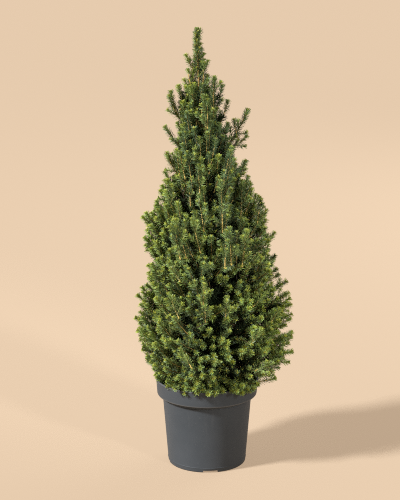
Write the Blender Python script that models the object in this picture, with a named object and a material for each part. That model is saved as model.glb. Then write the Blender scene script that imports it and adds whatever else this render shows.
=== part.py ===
"""Dwarf Alberta spruce in a round nursery pot.

A whole trunk stands on the root ball and runs up to the leader. Masses of foliage are set in tiers
round it, each an upswept, uneven flame with flat sides where it presses against its neighbours. The
masses of the upper tiers grow against the trunk. Those of the lower tiers stand away from it, each on
the end of its own bough, round a bare core.

Metres, +Z up. The origin is the centre of the pot's underside. Azimuth 0 is +X and 90 is +Y.
"""

import math
import random

import bmesh
import bpy
from mathutils import Vector, geometry, noise

GAP = 0.0003  # clearance between two solids that touch on the real plant
SEED = 7

# Nursery pot, 23 cm across its rim
RIM_RADIUS = 0.1150
POT_HEIGHT = 0.1970
BAND_HEIGHT = 0.0370  # the broad band under the rim
BAND_FOOT_RADIUS = 0.1118
BAND_CORNER = 0.0030
STEP_DROP = 0.0050  # slope from the band in to the wall
WALL_TOP_RADIUS = 0.0995
WALL_FOOT_RADIUS = 0.0872
WALL = 0.0022
LIP = 0.0012  # rounding of the rim
FOOT_CHAMFER = 0.0020
FOOT_RING_WIDTH = 0.0050
CHANNEL_DEPTH = 0.0060  # the floor is raised this much between foot ring and middle pad
PAD_RADIUS = 0.0440
FLOOR = 0.0030
POT_SIDES = 40
NOTCHES = 4  # drainage notches through the foot ring
NOTCH_WIDTH = 0.0330
NOTCH_HEIGHT = 0.0050
NOTCH_AZIMUTH = -85.0
DRAIN_RADIUS = 0.0070
DRAIN_SIDES = 12

# Root ball
SOIL_TOP = 0.1780
SOIL_ROUGHNESS = 0.0030
SOIL_SIDES = 24
SOIL_RINGS = (1.0, 0.8, 0.55)  # rings of its top surface, as shares of its radius
TRUNK_SEAT_RADIUS = 0.0260  # flat patch that carries the trunk

# Trunk
TRUNK_TIP = 0.9740
TRUNK_RADIUS = 0.0130
TRUNK_TIP_RADIUS = 0.0013
FLARE_RADIUS = 0.0210
FLARE_HEIGHT = 0.0300
FLARE_DECAY = 4  # over the flare's height its width falls to e to the power of minus this
TAPER_POWER = 0.9
LEAN_X = -0.0230  # how far the tip stands off the pot's axis
LEAN_POWER = 1.4
SWAY_Y = 0.0030
TRUNK_SIDES = 12
TRUNK_RINGS = 16
TRUNK_RING_POWER = 1.35  # above 1, the rings stand closer in the flare
LEADER_SLEEVE_RINGS = 4

# The crown's reach from the trunk's line, towards -X and towards +X, at a few heights
CROWN_PROFILE = (
    (0.197, 0.114, 0.160),
    (0.230, 0.140, 0.186),
    (0.270, 0.152, 0.196),
    (0.325, 0.164, 0.194),
    (0.365, 0.158, 0.195),
    (0.400, 0.150, 0.180),
    (0.455, 0.132, 0.162),
    (0.530, 0.144, 0.160),
    (0.565, 0.142, 0.146),
    (0.600, 0.116, 0.136),
    (0.690, 0.070, 0.100),
    (0.740, 0.075, 0.098),
    (0.785, 0.070, 0.064),
    (0.840, 0.066, 0.056),
    (0.865, 0.046, 0.048),
    (0.890, 0.026, 0.026),
    (0.932, 0.025, 0.016),
    (0.950, 0.010, 0.010),
    (0.986, 0.007, 0.008),
)

# Tiers of foliage, top to bottom: name, number of masses, first azimuth, height at the trunk, height
# of the tips, half width of a mass, bare core round the trunk (0 where the masses grow against it)
TIERS = (
    ("crest", 3, 178, 0.846, 0.930, 0.0260, 0.0),
    ("spire", 4, 8, 0.758, 0.862, 0.0440, 0.0),
    ("upper", 4, 42, 0.668, 0.772, 0.0540, 0.0),
    ("waist", 5, 12, 0.576, 0.690, 0.0640, 0.0),
    ("shoulder", 6, 0, 0.478, 0.592, 0.0720, 0.0),
    ("mid", 6, 28, 0.384, 0.498, 0.0760, 0.0),
    ("broad", 6, 2, 0.298, 0.392, 0.0780, 0.034),
    ("low", 7, 12, 0.228, 0.290, 0.0740, 0.036),
)
TIP_HEIGHT_SPREAD = 0.012
AZIMUTH_SPREAD = 6.0

# The leader stands on the trunk's own line, round its last stretch
LEADER_FOOT = 0.8800
LEADER_TIP = 0.9850
LEADER_HALF_WIDTH = 0.0150

# Two sprays that stand out of the crown: name, azimuth, foot radius and height, tip radius and height
OUTLIERS = (
    ("right_spray", 0, 0.048, 0.715, 0.103, 0.815),
    ("left_spray", 180, 0.040, 0.715, 0.080, 0.798),
)
OUTLIER_HALF_WIDTH = 0.0190

# Shape of one mass
MASS_RINGS = 7
MASS_SIDES = 9
MASS_BUMPS = 0.15  # share of its half width
BUMP_SIZE = 0.045
MASS_SKEW = 0.85  # below 1, its widest part lies past the middle
MASS_BLUNTNESS = 0.55  # below 1, its ends are rounder than a sine's
MASS_SAG = 0.10  # its middle hangs this share of its length below the straight line
MOST_SAG = 0.020  # the same for the longest mass, as a length
FOOT_INSET = 0.35  # its line starts this share of its half width past the inner face
MOST_FOOT_INSET = 0.012
CLEARANCE_STEPS = 12  # heights at which a flat inner face is held clear of the trunk
SMALLEST_EDGE = 0.0002
HIDDEN_FOOT = 0.30  # share of its length that lies behind its inner face, cut away
FREE_REACH = 0.90  # past this share of the crown's reach, a mass is pressed in to the crown's outline
MASS_GAP = 0.0006
CROWN_FLOOR = POT_HEIGHT + GAP  # the lowest masses lie on the rim

# Boughs
BOUGH_RISE = 0.7  # height gained for each metre out
BOUGH_RADIUS = 0.0042
BOUGH_TIP_RADIUS = 0.0030
BOUGH_SIDES = 8
BOUGH_RINGS = 4


def clear_scene():
    for obj in list(bpy.data.objects):
        bpy.data.objects.remove(obj)


def material(name, colour, roughness):
    mat = bpy.data.materials.new(name)
    mat.use_nodes = True
    shader = mat.node_tree.nodes["Principled BSDF"]
    shader.inputs["Base Color"].default_value = (*colour, 1.0)
    shader.inputs["Roughness"].default_value = roughness
    shader.inputs["Metallic"].default_value = 0.0
    return mat


def add_object(name, bm, mat):
    """One closed, outward-facing object made of the bmesh, which this frees."""
    bmesh.ops.recalc_face_normals(bm, faces=bm.faces)
    mesh = bpy.data.meshes.new(name)
    bm.to_mesh(mesh)
    bm.free()
    mesh.materials.append(mat)
    obj = bpy.data.objects.new(name, mesh)
    bpy.context.scene.collection.objects.link(obj)
    return obj


def polar(radius, azimuth, height):
    return Vector((radius * math.cos(azimuth), radius * math.sin(azimuth), height))


def skin(bm, rings, first_pole=None, last_pole=None):
    """Joins rings of points into a tube. Each end is closed by a fan to its pole, or by one flat face."""
    made = [[bm.verts.new(point) for point in ring] for ring in rings]
    sides = len(made[0])
    for lower, upper in zip(made, made[1:]):
        for i in range(sides):
            j = (i + 1) % sides
            bm.faces.new((lower[i], lower[j], upper[j], upper[i]))
    for ring, pole in ((made[0], first_pole), (made[-1], last_pole)):
        if pole is None:
            bm.faces.new(ring)
            continue
        centre = bm.verts.new(pole)
        for i in range(sides):
            bm.faces.new((ring[i], ring[(i + 1) % sides], centre))


def turned(name, profile, sides, mat):
    """A solid of revolution. The profile is (radius, height) pairs, from the axis round to the axis."""
    bm = bmesh.new()
    azimuths = [2 * math.pi * i / sides for i in range(sides)]
    rings = [[polar(r, a, z) for a in azimuths] for r, z in profile[1:-1]]
    skin(bm, rings, polar(0, 0, profile[0][1]), polar(0, 0, profile[-1][1]))
    return add_object(name, bm, mat)


def cut(obj, cutter):
    """Takes the cutter's shape out of the object, and leaves the cutter as a hidden guide."""
    cutter.hide_render = True
    cutter.display_type = "WIRE"
    modifier = obj.modifiers.new(cutter.name, "BOOLEAN")
    modifier.operation = "DIFFERENCE"
    modifier.object = cutter


# ---------------------------------------------------------------- pot and root ball


def wall_radius(height):
    """Outer radius of the pot's wall below the band."""
    top = POT_HEIGHT - BAND_HEIGHT - STEP_DROP
    return WALL_FOOT_RADIUS + (WALL_TOP_RADIUS - WALL_FOOT_RADIUS) * height / top


def pot_inside():
    """The pot's inner surface as (radius, height), from the middle of the floor up to the band."""
    step_top = POT_HEIGHT - BAND_HEIGHT
    raised = CHANNEL_DEPTH + FLOOR
    return [
        (PAD_RADIUS - FLOOR, FLOOR),
        (PAD_RADIUS, raised),
        (wall_radius(raised) - WALL, raised),
        (WALL_TOP_RADIUS - WALL, step_top - STEP_DROP + WALL / 2),
        (BAND_FOOT_RADIUS - WALL, step_top + WALL),
    ]


def pot(mat):
    step_top = POT_HEIGHT - BAND_HEIGHT
    ring_inside = WALL_FOOT_RADIUS - FOOT_CHAMFER - FOOT_RING_WIDTH
    outside = [
        (RIM_RADIUS - WALL + LIP / 2, POT_HEIGHT),
        (RIM_RADIUS - LIP / 2, POT_HEIGHT),
        (RIM_RADIUS, POT_HEIGHT - LIP),
        (BAND_FOOT_RADIUS, step_top + BAND_CORNER),
        (BAND_FOOT_RADIUS - BAND_CORNER, step_top),
        (WALL_TOP_RADIUS, step_top - STEP_DROP),
        (WALL_FOOT_RADIUS, FOOT_CHAMFER),
        (WALL_FOOT_RADIUS - FOOT_CHAMFER, 0),
        (ring_inside, 0),
        (ring_inside, CHANNEL_DEPTH),
        (PAD_RADIUS + FLOOR, CHANNEL_DEPTH),
        (PAD_RADIUS, 0),
        (0, 0),
    ]
    profile = [(0, FLOOR), *pot_inside(), (RIM_RADIUS - WALL, POT_HEIGHT - LIP), *outside]
    body = turned("pot", profile, POT_SIDES, mat)
    cut(body, notch_cutter(mat))
    cut(body, drain_cutter(mat))
    body.data.shade_smooth()
    body.data.set_sharp_from_angle(angle=math.radians(35))
    return body


def notch_azimuths():
    return [math.radians(NOTCH_AZIMUTH + 360 * i / NOTCHES) for i in range(NOTCHES)]


def notch_cutter(mat):
    """A wedge for each notch, wider at the floor than above, as moulded."""
    bm = bmesh.new()
    inner = WALL_FOOT_RADIUS - FOOT_CHAMFER - FOOT_RING_WIDTH - WALL
    outer = WALL_FOOT_RADIUS + WALL
    for azimuth in notch_azimuths():
        out = polar(1, azimuth, 0)
        side = Vector((-out.y, out.x, 0))
        quads = []
        for radius in (inner, outer):
            corners = (
                (-NOTCH_WIDTH / 2 - NOTCH_HEIGHT / 2, -NOTCH_HEIGHT),
                (NOTCH_WIDTH / 2 + NOTCH_HEIGHT / 2, -NOTCH_HEIGHT),
                (NOTCH_WIDTH / 2 - NOTCH_HEIGHT / 2, NOTCH_HEIGHT),
                (-NOTCH_WIDTH / 2 + NOTCH_HEIGHT / 2, NOTCH_HEIGHT),
            )
            quads.append([out * radius + side * s + Vector((0, 0, z)) for s, z in corners])
        skin(bm, quads)
    return add_object("notch_cutter", bm, mat)


def drain_cutter(mat):
    """One round hole through the raised floor behind each notch."""
    bm = bmesh.new()
    radius = (PAD_RADIUS + WALL_FOOT_RADIUS - FOOT_RING_WIDTH) / 2
    turn = [2 * math.pi * i / DRAIN_SIDES for i in range(DRAIN_SIDES)]
    for azimuth in notch_azimuths():
        centre = polar(radius, azimuth, 0)
        rings = [
            [centre + polar(DRAIN_RADIUS, a, z) for a in turn]
            for z in (CHANNEL_DEPTH / 2, CHANNEL_DEPTH + 2 * FLOOR)
        ]
        skin(bm, rings)
    return add_object("drain_cutter", bm, mat)


def root_ball(mat):
    """Potting soil that fills the pot to just under its rim, crumbly on top."""
    inside = [(r - GAP, z + GAP) for r, z in pot_inside()]
    top_radius = inside[-1][0] + (SOIL_TOP - inside[-1][1]) * (RIM_RADIUS - BAND_FOOT_RADIUS) / BAND_HEIGHT
    rings_in = [*(top_radius * share for share in SOIL_RINGS), TRUNK_SEAT_RADIUS]
    profile = [(0, FLOOR + GAP), *inside, *((r, SOIL_TOP) for r in rings_in), (0, SOIL_TOP)]
    body = turned("root_ball", profile, SOIL_SIDES, mat)
    for vertex in body.data.vertices:
        radius = vertex.co.xy.length
        loose = vertex.co.z > SOIL_TOP - GAP and TRUNK_SEAT_RADIUS + GAP < radius < top_radius - GAP
        if loose:
            vertex.co.z += SOIL_ROUGHNESS * noise.noise(vertex.co / BUMP_SIZE * 2)
    return body


# ---------------------------------------------------------------- trunk and crown outline


def trunk_foot():
    return SOIL_TOP + GAP


def trunk_centre(height):
    """The trunk's centreline, which leans a little and sways."""
    share = max(0.0, (height - trunk_foot()) / (TRUNK_TIP - trunk_foot()))
    return Vector((LEAN_X * share**LEAN_POWER, SWAY_Y * math.sin(2 * math.pi * share), height))


def trunk_radius(height):
    above = max(0.0, height - trunk_foot())
    share = min(1.0, above / (TRUNK_TIP - trunk_foot()))
    taper = TRUNK_TIP_RADIUS + (TRUNK_RADIUS - TRUNK_TIP_RADIUS) * (1 - share) ** TAPER_POWER
    flare = (FLARE_RADIUS - TRUNK_RADIUS) * math.exp(-FLARE_DECAY * above / FLARE_HEIGHT)
    return taper + flare


def trunk(mat):
    bm = bmesh.new()
    rings = []
    for i in range(TRUNK_RINGS + 1):
        share = (i / TRUNK_RINGS) ** TRUNK_RING_POWER
        height = trunk_foot() + share * (TRUNK_TIP - trunk_foot())
        centre = trunk_centre(height)
        ring = [
            centre + polar(trunk_radius(height), 2 * math.pi * k / TRUNK_SIDES, 0)
            for k in range(TRUNK_SIDES)
        ]
        rings.append(ring)
    skin(bm, rings)
    body = add_object("trunk", bm, mat)
    body.data.shade_smooth()
    return body


def crown_reach(height, azimuth):
    """How far the crown reaches from the trunk's line, between its two stated sides."""
    height = min(max(height, CROWN_PROFILE[0][0]), CROWN_PROFILE[-1][0])
    for low, high in zip(CROWN_PROFILE, CROWN_PROFILE[1:]):
        if height <= high[0]:
            break
    share = (height - low[0]) / (high[0] - low[0])
    left = low[1] + (high[1] - low[1]) * share
    right = low[2] + (high[2] - low[2]) * share
    return (left + right) / 2 + (right - left) / 2 * math.cos(azimuth)


def pressed_in(point):
    """The point drawn in towards the trunk's line, so that none passes the crown's outline."""
    axis = trunk_centre(point.z)
    outward = point - axis
    reach = outward.xy.length
    limit = crown_reach(point.z, math.atan2(outward.y, outward.x))
    free = FREE_REACH * limit
    if reach <= free:
        return point
    soft = (limit - free) * (1 - math.exp(-(reach - free) / (limit - free)))
    return axis + outward * (free + soft) / reach


# ---------------------------------------------------------------- masses of foliage


class Mass:
    """One upswept mass: its line from foot to tip, its half width and the face towards the trunk."""

    def __init__(self, name, azimuth, foot, tip, half_width, core=0.0, free=False):
        self.name = f"foliage_{name}"
        self.half_width = half_width
        self.core = core
        self.free = free  # stands out of the crown's outline
        self.out = polar(1, azimuth, 0)
        self.foot = foot
        self.tip = tip
        self.inner_point = None

    def stand_on_trunk(self, foot_height):
        """Sets the flat inner face, and the foot just outside it."""
        reach = self.core or self.trunk_clearance(foot_height)
        self.inner_point = trunk_centre(foot_height) + self.out * reach
        self.foot = self.inner_point + self.out * min(FOOT_INSET * self.half_width, MOST_FOOT_INSET)

    def trunk_clearance(self, foot_height):
        """The least distance from the trunk's line at the foot at which a flat face misses the trunk."""
        axis = trunk_centre(foot_height)
        reach = 0.0
        low = foot_height - self.half_width
        high = self.tip.z + self.half_width
        for i in range(CLEARANCE_STEPS + 1):
            height = min(low + (high - low) * i / CLEARANCE_STEPS, TRUNK_TIP)
            side = (trunk_centre(height) - axis).dot(self.out)
            reach = max(reach, side + trunk_radius(height))
        return reach + 2 * GAP

    def body(self):
        """The uncut flame: rings about a sagging line, widest past the middle, bumpy all over."""
        bm = bmesh.new()
        hidden = HIDDEN_FOOT if self.inner_point else 0.0
        start = self.foot + (self.foot - self.tip) * hidden
        line = self.tip - start
        along = line.normalized()
        across = along.cross(Vector((0, 0, 1))).normalized()
        upward = across.cross(along)

        def centre(share):
            sag = MASS_SAG * line.length * math.sin(math.pi * share)
            return start + line * share - Vector((0, 0, sag))

        rings = []
        for i in range(1, MASS_RINGS + 1):
            share = i / (MASS_RINGS + 1)
            width = self.half_width * math.sin(math.pi * share**MASS_SKEW) ** MASS_BLUNTNESS
            ring = []
            for k in range(MASS_SIDES):
                turn = 2 * math.pi * (k + 0.5 * (i % 2)) / MASS_SIDES
                spoke = across * math.cos(turn) + upward * math.sin(turn)
                lump = noise.noise((centre(share) + spoke * width) / BUMP_SIZE)
                point = centre(share) + spoke * width * (1 + 2 * MASS_BUMPS * lump)
                ring.append(point if self.free else pressed_in(point))
            rings.append(ring)
        skin(bm, rings, start, self.tip)
        return bm

    def clip(self, bm, point, outward):
        """Cuts off what lies past the plane, and closes the cut with a flat face."""
        everything = [*bm.verts, *bm.edges, *bm.faces]
        done = bmesh.ops.bisect_plane(
            bm, geom=everything, dist=1e-7, plane_co=point, plane_no=outward, clear_outer=True
        )
        edges = [e for e in done["geom_cut"] if isinstance(e, bmesh.types.BMEdge)]
        if edges:
            bmesh.ops.holes_fill(bm, edges=[e for e in edges if e.is_boundary])

    def build(self, others, mat):
        bm = self.body()
        if self.inner_point:
            self.clip(bm, self.inner_point, -self.out)
        self.clip(bm, Vector((0, 0, CROWN_FLOOR)), Vector((0, 0, -1)))
        for other in others:
            pair = geometry_between(self, other)
            if pair is None:
                continue
            here, there = pair
            share = self.half_width / (self.half_width + other.half_width)
            outward = (there - here).normalized()
            self.clip(bm, here.lerp(there, share) - outward * MASS_GAP / 2, outward)
        bmesh.ops.remove_doubles(bm, verts=bm.verts, dist=SMALLEST_EDGE)
        return add_object(self.name, bm, mat)


def closest_points(a, b, c, d):
    """The closest points of segment a-b and segment c-d."""
    best = None
    found = geometry.intersect_line_line(a, b, c, d)
    options = []
    if found:
        on_first = clamp_to(found[0], a, b)
        on_second = clamp_to(found[1], c, d)
        options += [(on_first, clamp_to(on_first, c, d)), (clamp_to(on_second, a, b), on_second)]
    options += [(end, clamp_to(end, c, d)) for end in (a, b)]
    options += [(clamp_to(end, a, b), end) for end in (c, d)]
    for pair in options:
        length = (pair[1] - pair[0]).length
        if best is None or length < best[0]:
            best = (length, pair)
    return best[1]


def clamp_to(point, start, end):
    line = end - start
    share = (point - start).dot(line) / line.length_squared
    return start + line * min(1.0, max(0.0, share))


def geometry_between(one, two):
    """The closest points of two masses' lines, or None where the masses are too far apart to meet."""
    here, there = closest_points(one.foot, one.tip, two.foot, two.tip)
    room = (one.half_width + two.half_width) * (1 + 2 * MASS_BUMPS) + MOST_SAG
    if (there - here).length > room:
        return None
    return here, there


def tier_masses(tier, dice):
    """The masses of one tier, spaced evenly round the trunk but for a little chance."""
    name, count, first, foot_height, tip_height, half_width, core = tier
    masses = []
    for index in range(count):
        turn = first + 360 * index / count + dice.uniform(-1, 1) * AZIMUTH_SPREAD
        azimuth = math.radians(turn)
        height = tip_height + dice.uniform(-1, 1) * TIP_HEIGHT_SPREAD
        tip = trunk_centre(height) + polar(crown_reach(height, azimuth), azimuth, 0)
        mass = Mass(f"{name}_{index + 1}", azimuth, None, tip, half_width, core)
        mass.stand_on_trunk(foot_height)
        masses.append(mass)
    return masses


def leader_mass():
    foot = trunk_centre(LEADER_FOOT)
    tip = trunk_centre(LEADER_TIP)
    return Mass("leader", 0.0, foot, tip, LEADER_HALF_WIDTH, free=True)


def outlier_masses():
    masses = []
    for name, turn, foot_radius, foot_height, tip_radius, tip_height in OUTLIERS:
        azimuth = math.radians(turn)
        foot = trunk_centre(foot_height) + polar(foot_radius, azimuth, 0)
        tip = trunk_centre(tip_height) + polar(tip_radius, azimuth, 0)
        masses.append(Mass(name, azimuth, foot, tip, OUTLIER_HALF_WIDTH, free=True))
    return masses


def leader_sleeve(mat):
    """A cutter round the trunk's last stretch, with clearance."""
    bm = bmesh.new()
    low = LEADER_FOOT - LEADER_HALF_WIDTH
    rings = []
    for i in range(LEADER_SLEEVE_RINGS + 1):
        height = low + (TRUNK_TIP - low) * i / LEADER_SLEEVE_RINGS
        centre = trunk_centre(height)
        radius = (trunk_radius(height) + 2 * GAP) / math.cos(math.pi / TRUNK_SIDES)
        top = GAP if i == LEADER_SLEEVE_RINGS else 0
        ring = [centre + polar(radius, 2 * math.pi * k / TRUNK_SIDES, top) for k in range(TRUNK_SIDES)]
        rings.append(ring)
    skin(bm, rings)
    return add_object("leader_sleeve", bm, mat)


# ---------------------------------------------------------------- boughs


def bough(mass, mat):
    """A tapering limb from the trunk's side up to the inner face of its mass."""
    reach = mass.core - GAP
    foot_height = mass.foot.z - BOUGH_RISE * reach
    start = trunk_centre(foot_height)
    end = start + mass.out * reach + Vector((0, 0, BOUGH_RISE * reach))
    along = (end - start).normalized()
    side = Vector((-mass.out.y, mass.out.x, 0))
    upward = side.cross(along)
    rings = []
    for i in range(BOUGH_RINGS + 1):
        share = i / BOUGH_RINGS
        radius = BOUGH_RADIUS + (BOUGH_TIP_RADIUS - BOUGH_RADIUS) * share
        ring = []
        for k in range(BOUGH_SIDES):
            turn = 2 * math.pi * k / BOUGH_SIDES
            spoke = (side * math.cos(turn) - upward * math.sin(turn)) * radius
            first = leave_trunk(start + spoke, along)
            last = meet_face(start + spoke, along, mass)
            ring.append(first.lerp(last, share))
        rings.append(ring)
    bm = bmesh.new()
    skin(bm, rings, leave_trunk(start, along), meet_face(start, along, mass))
    return add_object(mass.name.replace("foliage", "bough"), bm, mat)


def leave_trunk(point, along):
    """Where the line from the point leaves the trunk's bark, with clearance."""
    low, high = 0.0, 0.1
    for _ in range(30):
        middle = (low + high) / 2
        spot = point + along * middle
        outside = (spot - trunk_centre(spot.z)).length > trunk_radius(spot.z) + 2 * GAP
        low, high = (low, middle) if outside else (middle, high)
    return point + along * high


def meet_face(point, along, mass):
    """Where the line from the point meets the mass's inner face, with clearance."""
    face = mass.inner_point - mass.out * GAP
    return point + along * ((face - point).dot(mass.out) / along.dot(mass.out))


# ---------------------------------------------------------------- the plant


def main():
    clear_scene()
    plastic = material("pot_plastic", (0.060, 0.062, 0.065), 0.55)
    soil = material("potting_soil", (0.030, 0.020, 0.014), 0.95)
    bark = material("bark", (0.150, 0.095, 0.060), 0.85)
    needles = material("needles", (0.070, 0.130, 0.040), 0.70)

    pot(plastic)
    root_ball(soil)
    trunk(bark)
    dice = random.Random(SEED)
    leader = leader_mass()
    masses = [leader, *outlier_masses()]
    for tier in TIERS:
        masses += tier_masses(tier, dice)
    for mass in masses:
        body = mass.build([other for other in masses if other is not mass], needles)
        if mass is leader:
            cut(body, leader_sleeve(needles))
        if mass.core:
            bough(mass, bark)


main()
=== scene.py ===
"""Looks of the potted dwarf Alberta spruce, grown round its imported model.

The trunk and boughs become limbs with bark. From each limb a seeded rule grows twigs towards points on the
outside of its mass of foliage, and each twig ends in a spray of shoots clad in needles.
"""

import itertools
import math

import bpy
import numpy as np
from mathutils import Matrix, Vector, noise
from mathutils.bvhtree import BVHTree
from mathutils.kdtree import KDTree


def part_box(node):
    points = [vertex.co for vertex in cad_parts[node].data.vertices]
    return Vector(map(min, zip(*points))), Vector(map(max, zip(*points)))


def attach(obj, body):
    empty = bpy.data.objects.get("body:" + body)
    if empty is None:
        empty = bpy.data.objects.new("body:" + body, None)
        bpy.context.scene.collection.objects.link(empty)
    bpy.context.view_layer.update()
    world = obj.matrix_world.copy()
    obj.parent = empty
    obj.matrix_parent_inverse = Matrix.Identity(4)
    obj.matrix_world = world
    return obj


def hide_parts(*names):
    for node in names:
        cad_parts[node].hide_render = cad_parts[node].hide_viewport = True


SEED = 11
MM = 0.001
GOLDEN_ANGLE = math.radians(137.508)
UP = np.array([0.0, 0.0, 1.0])

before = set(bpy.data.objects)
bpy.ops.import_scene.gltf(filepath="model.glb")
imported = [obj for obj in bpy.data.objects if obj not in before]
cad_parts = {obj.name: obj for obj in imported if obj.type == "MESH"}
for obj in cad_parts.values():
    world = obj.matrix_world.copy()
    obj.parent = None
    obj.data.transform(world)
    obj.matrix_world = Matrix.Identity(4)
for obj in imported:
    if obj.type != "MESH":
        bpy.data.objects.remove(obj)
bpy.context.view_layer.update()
DICE = np.random.default_rng(SEED)


# ------------------------------------------------------------------ small vector tools


def unit(vectors):
    """Each row at length one."""
    return vectors / np.maximum(np.linalg.norm(vectors, axis=-1, keepdims=True), 1e-12)


def across(vectors):
    """For each row, two directions square to it and to each other."""
    helper = np.where(np.abs(vectors[..., 2:3]) > 0.9, np.array([1.0, 0.0, 0.0]), UP)
    side = unit(np.cross(vectors, helper))
    return side, np.cross(side, vectors)


def curve_points(control, share):
    """Points at the given shares along cubic curves, whose four control points are control[..., 4, 3]."""
    s = share[..., None]
    a, b, c, d = (control[..., i, :] for i in range(4))
    return (1 - s) ** 3 * a + 3 * (1 - s) ** 2 * s * b + 3 * (1 - s) * s**2 * c + s**3 * d


def curve_tangents(control, share):
    s = share[..., None]
    a, b, c, d = (control[..., i, :] for i in range(4))
    return unit((1 - s) ** 2 * (b - a) + 2 * (1 - s) * s * (c - b) + s**2 * (d - c))


def bent(start, end, leaving, arriving):
    """Cubic curves from start to end that leave and arrive in the given directions."""
    third = np.linalg.norm(end - start, axis=-1, keepdims=True) / 3
    return np.stack([start, start + leaving * third, end - arriving * third, end], axis=-2)


def azimuth_direction(azimuth):
    return np.stack([np.cos(azimuth), np.sin(azimuth), np.zeros_like(azimuth)], axis=-1)


def turned(first, second, angle):
    """The first directions turned towards the second ones, which are square to them, by the angles."""
    return first * np.cos(angle)[..., None] + second * np.sin(angle)[..., None]


def flattened(vectors):
    return vectors * np.array([1, 1, 0])


def full_turn(steps):
    return 2 * math.pi * np.arange(steps) / steps


def fade(values, start, reach):
    """0 at the start and 1 one reach past it. A negative reach goes down from the start."""
    return np.clip((values - start) / reach, 0, 1)


def bell(values, middle, reach):
    """1 at the middle, and falling off on both sides."""
    return np.exp(-(((values - middle) / reach) ** 2))


def lookup(table, values):
    """What the table's second numbers are at these values of its first ones."""
    return np.interp(values, *zip(*table))


def node_vertices(name):
    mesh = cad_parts[name].data
    points = np.zeros(len(mesh.vertices) * 3)
    mesh.vertices.foreach_get("co", points)
    return points.reshape(-1, 3)


# ------------------------------------------------------------------ meshes and materials


def link_object(name, data):
    obj = bpy.data.objects.new(name, data)
    bpy.context.scene.collection.objects.link(obj)
    return obj


def simple_object(name, points, faces, materials=(), smooth=False):
    """An object from lists. Its faces may differ in their number of corners."""
    mesh = bpy.data.meshes.new(name)
    mesh.from_pydata(points, [], faces)
    for mat in materials:
        mesh.materials.append(mat)
    if smooth:
        mesh.shade_smooth()
    return link_object(name, mesh)


def capped_faces(rings, sides):
    """Faces of a closed shell whose points are rings, then a pole for the first and one for the last."""
    index = np.arange(rings * sides).reshape(rings, sides)
    after = np.roll(index, -1, axis=1)
    quads = np.stack([index[:-1], index[1:], after[1:], after[:-1]], axis=-1).reshape(-1, 4)
    first = np.stack([np.full(sides, index.size), index[0], after[0]], axis=-1)
    last = np.stack([np.full(sides, index.size + 1), after[-1], index[-1]], axis=-1)
    return [*quads.tolist(), *first.tolist(), *last.tolist()]


def build_object(name, points, faces, materials, face_material=None, smooth=False):
    """An object from large arrays. Its faces all have the same number of corners."""
    corners = faces.shape[1]
    mesh = bpy.data.meshes.new(name)
    mesh.vertices.add(len(points))
    mesh.vertices.foreach_set("co", np.ascontiguousarray(points, np.float32).ravel())
    mesh.loops.add(faces.size)
    mesh.loops.foreach_set("vertex_index", np.ascontiguousarray(faces, np.int32).ravel())
    mesh.polygons.add(len(faces))
    mesh.polygons.foreach_set("loop_start", np.arange(0, faces.size, corners, dtype=np.int32))
    for mat in materials:
        mesh.materials.append(mat)
    if face_material is not None:
        mesh.polygons.foreach_set("material_index", np.ascontiguousarray(face_material, np.int32))
    mesh.polygons.foreach_set("use_smooth", np.full(len(faces), smooth))
    mesh.update(calc_edges=True)
    mesh.validate()
    return link_object(name, mesh)


def set_on_plant(obj, slot, *nodes):
    """The piece moves with the plant and hides the given CAD nodes, whose place it takes. Its slot is not
    used.
    """
    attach(obj, "root")
    if nodes:
        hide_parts(*nodes)


def plain_material(name, colour, roughness, **sockets):
    mat = bpy.data.materials.new(name)
    mat.use_nodes = True
    shader = mat.node_tree.nodes["Principled BSDF"]
    shader.inputs["Base Color"].default_value = (*colour, 1.0)
    shader.inputs["Roughness"].default_value = roughness
    for socket, value in sockets.items():
        shader.inputs[socket.replace("_", " ")].default_value = value
    return mat


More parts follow.
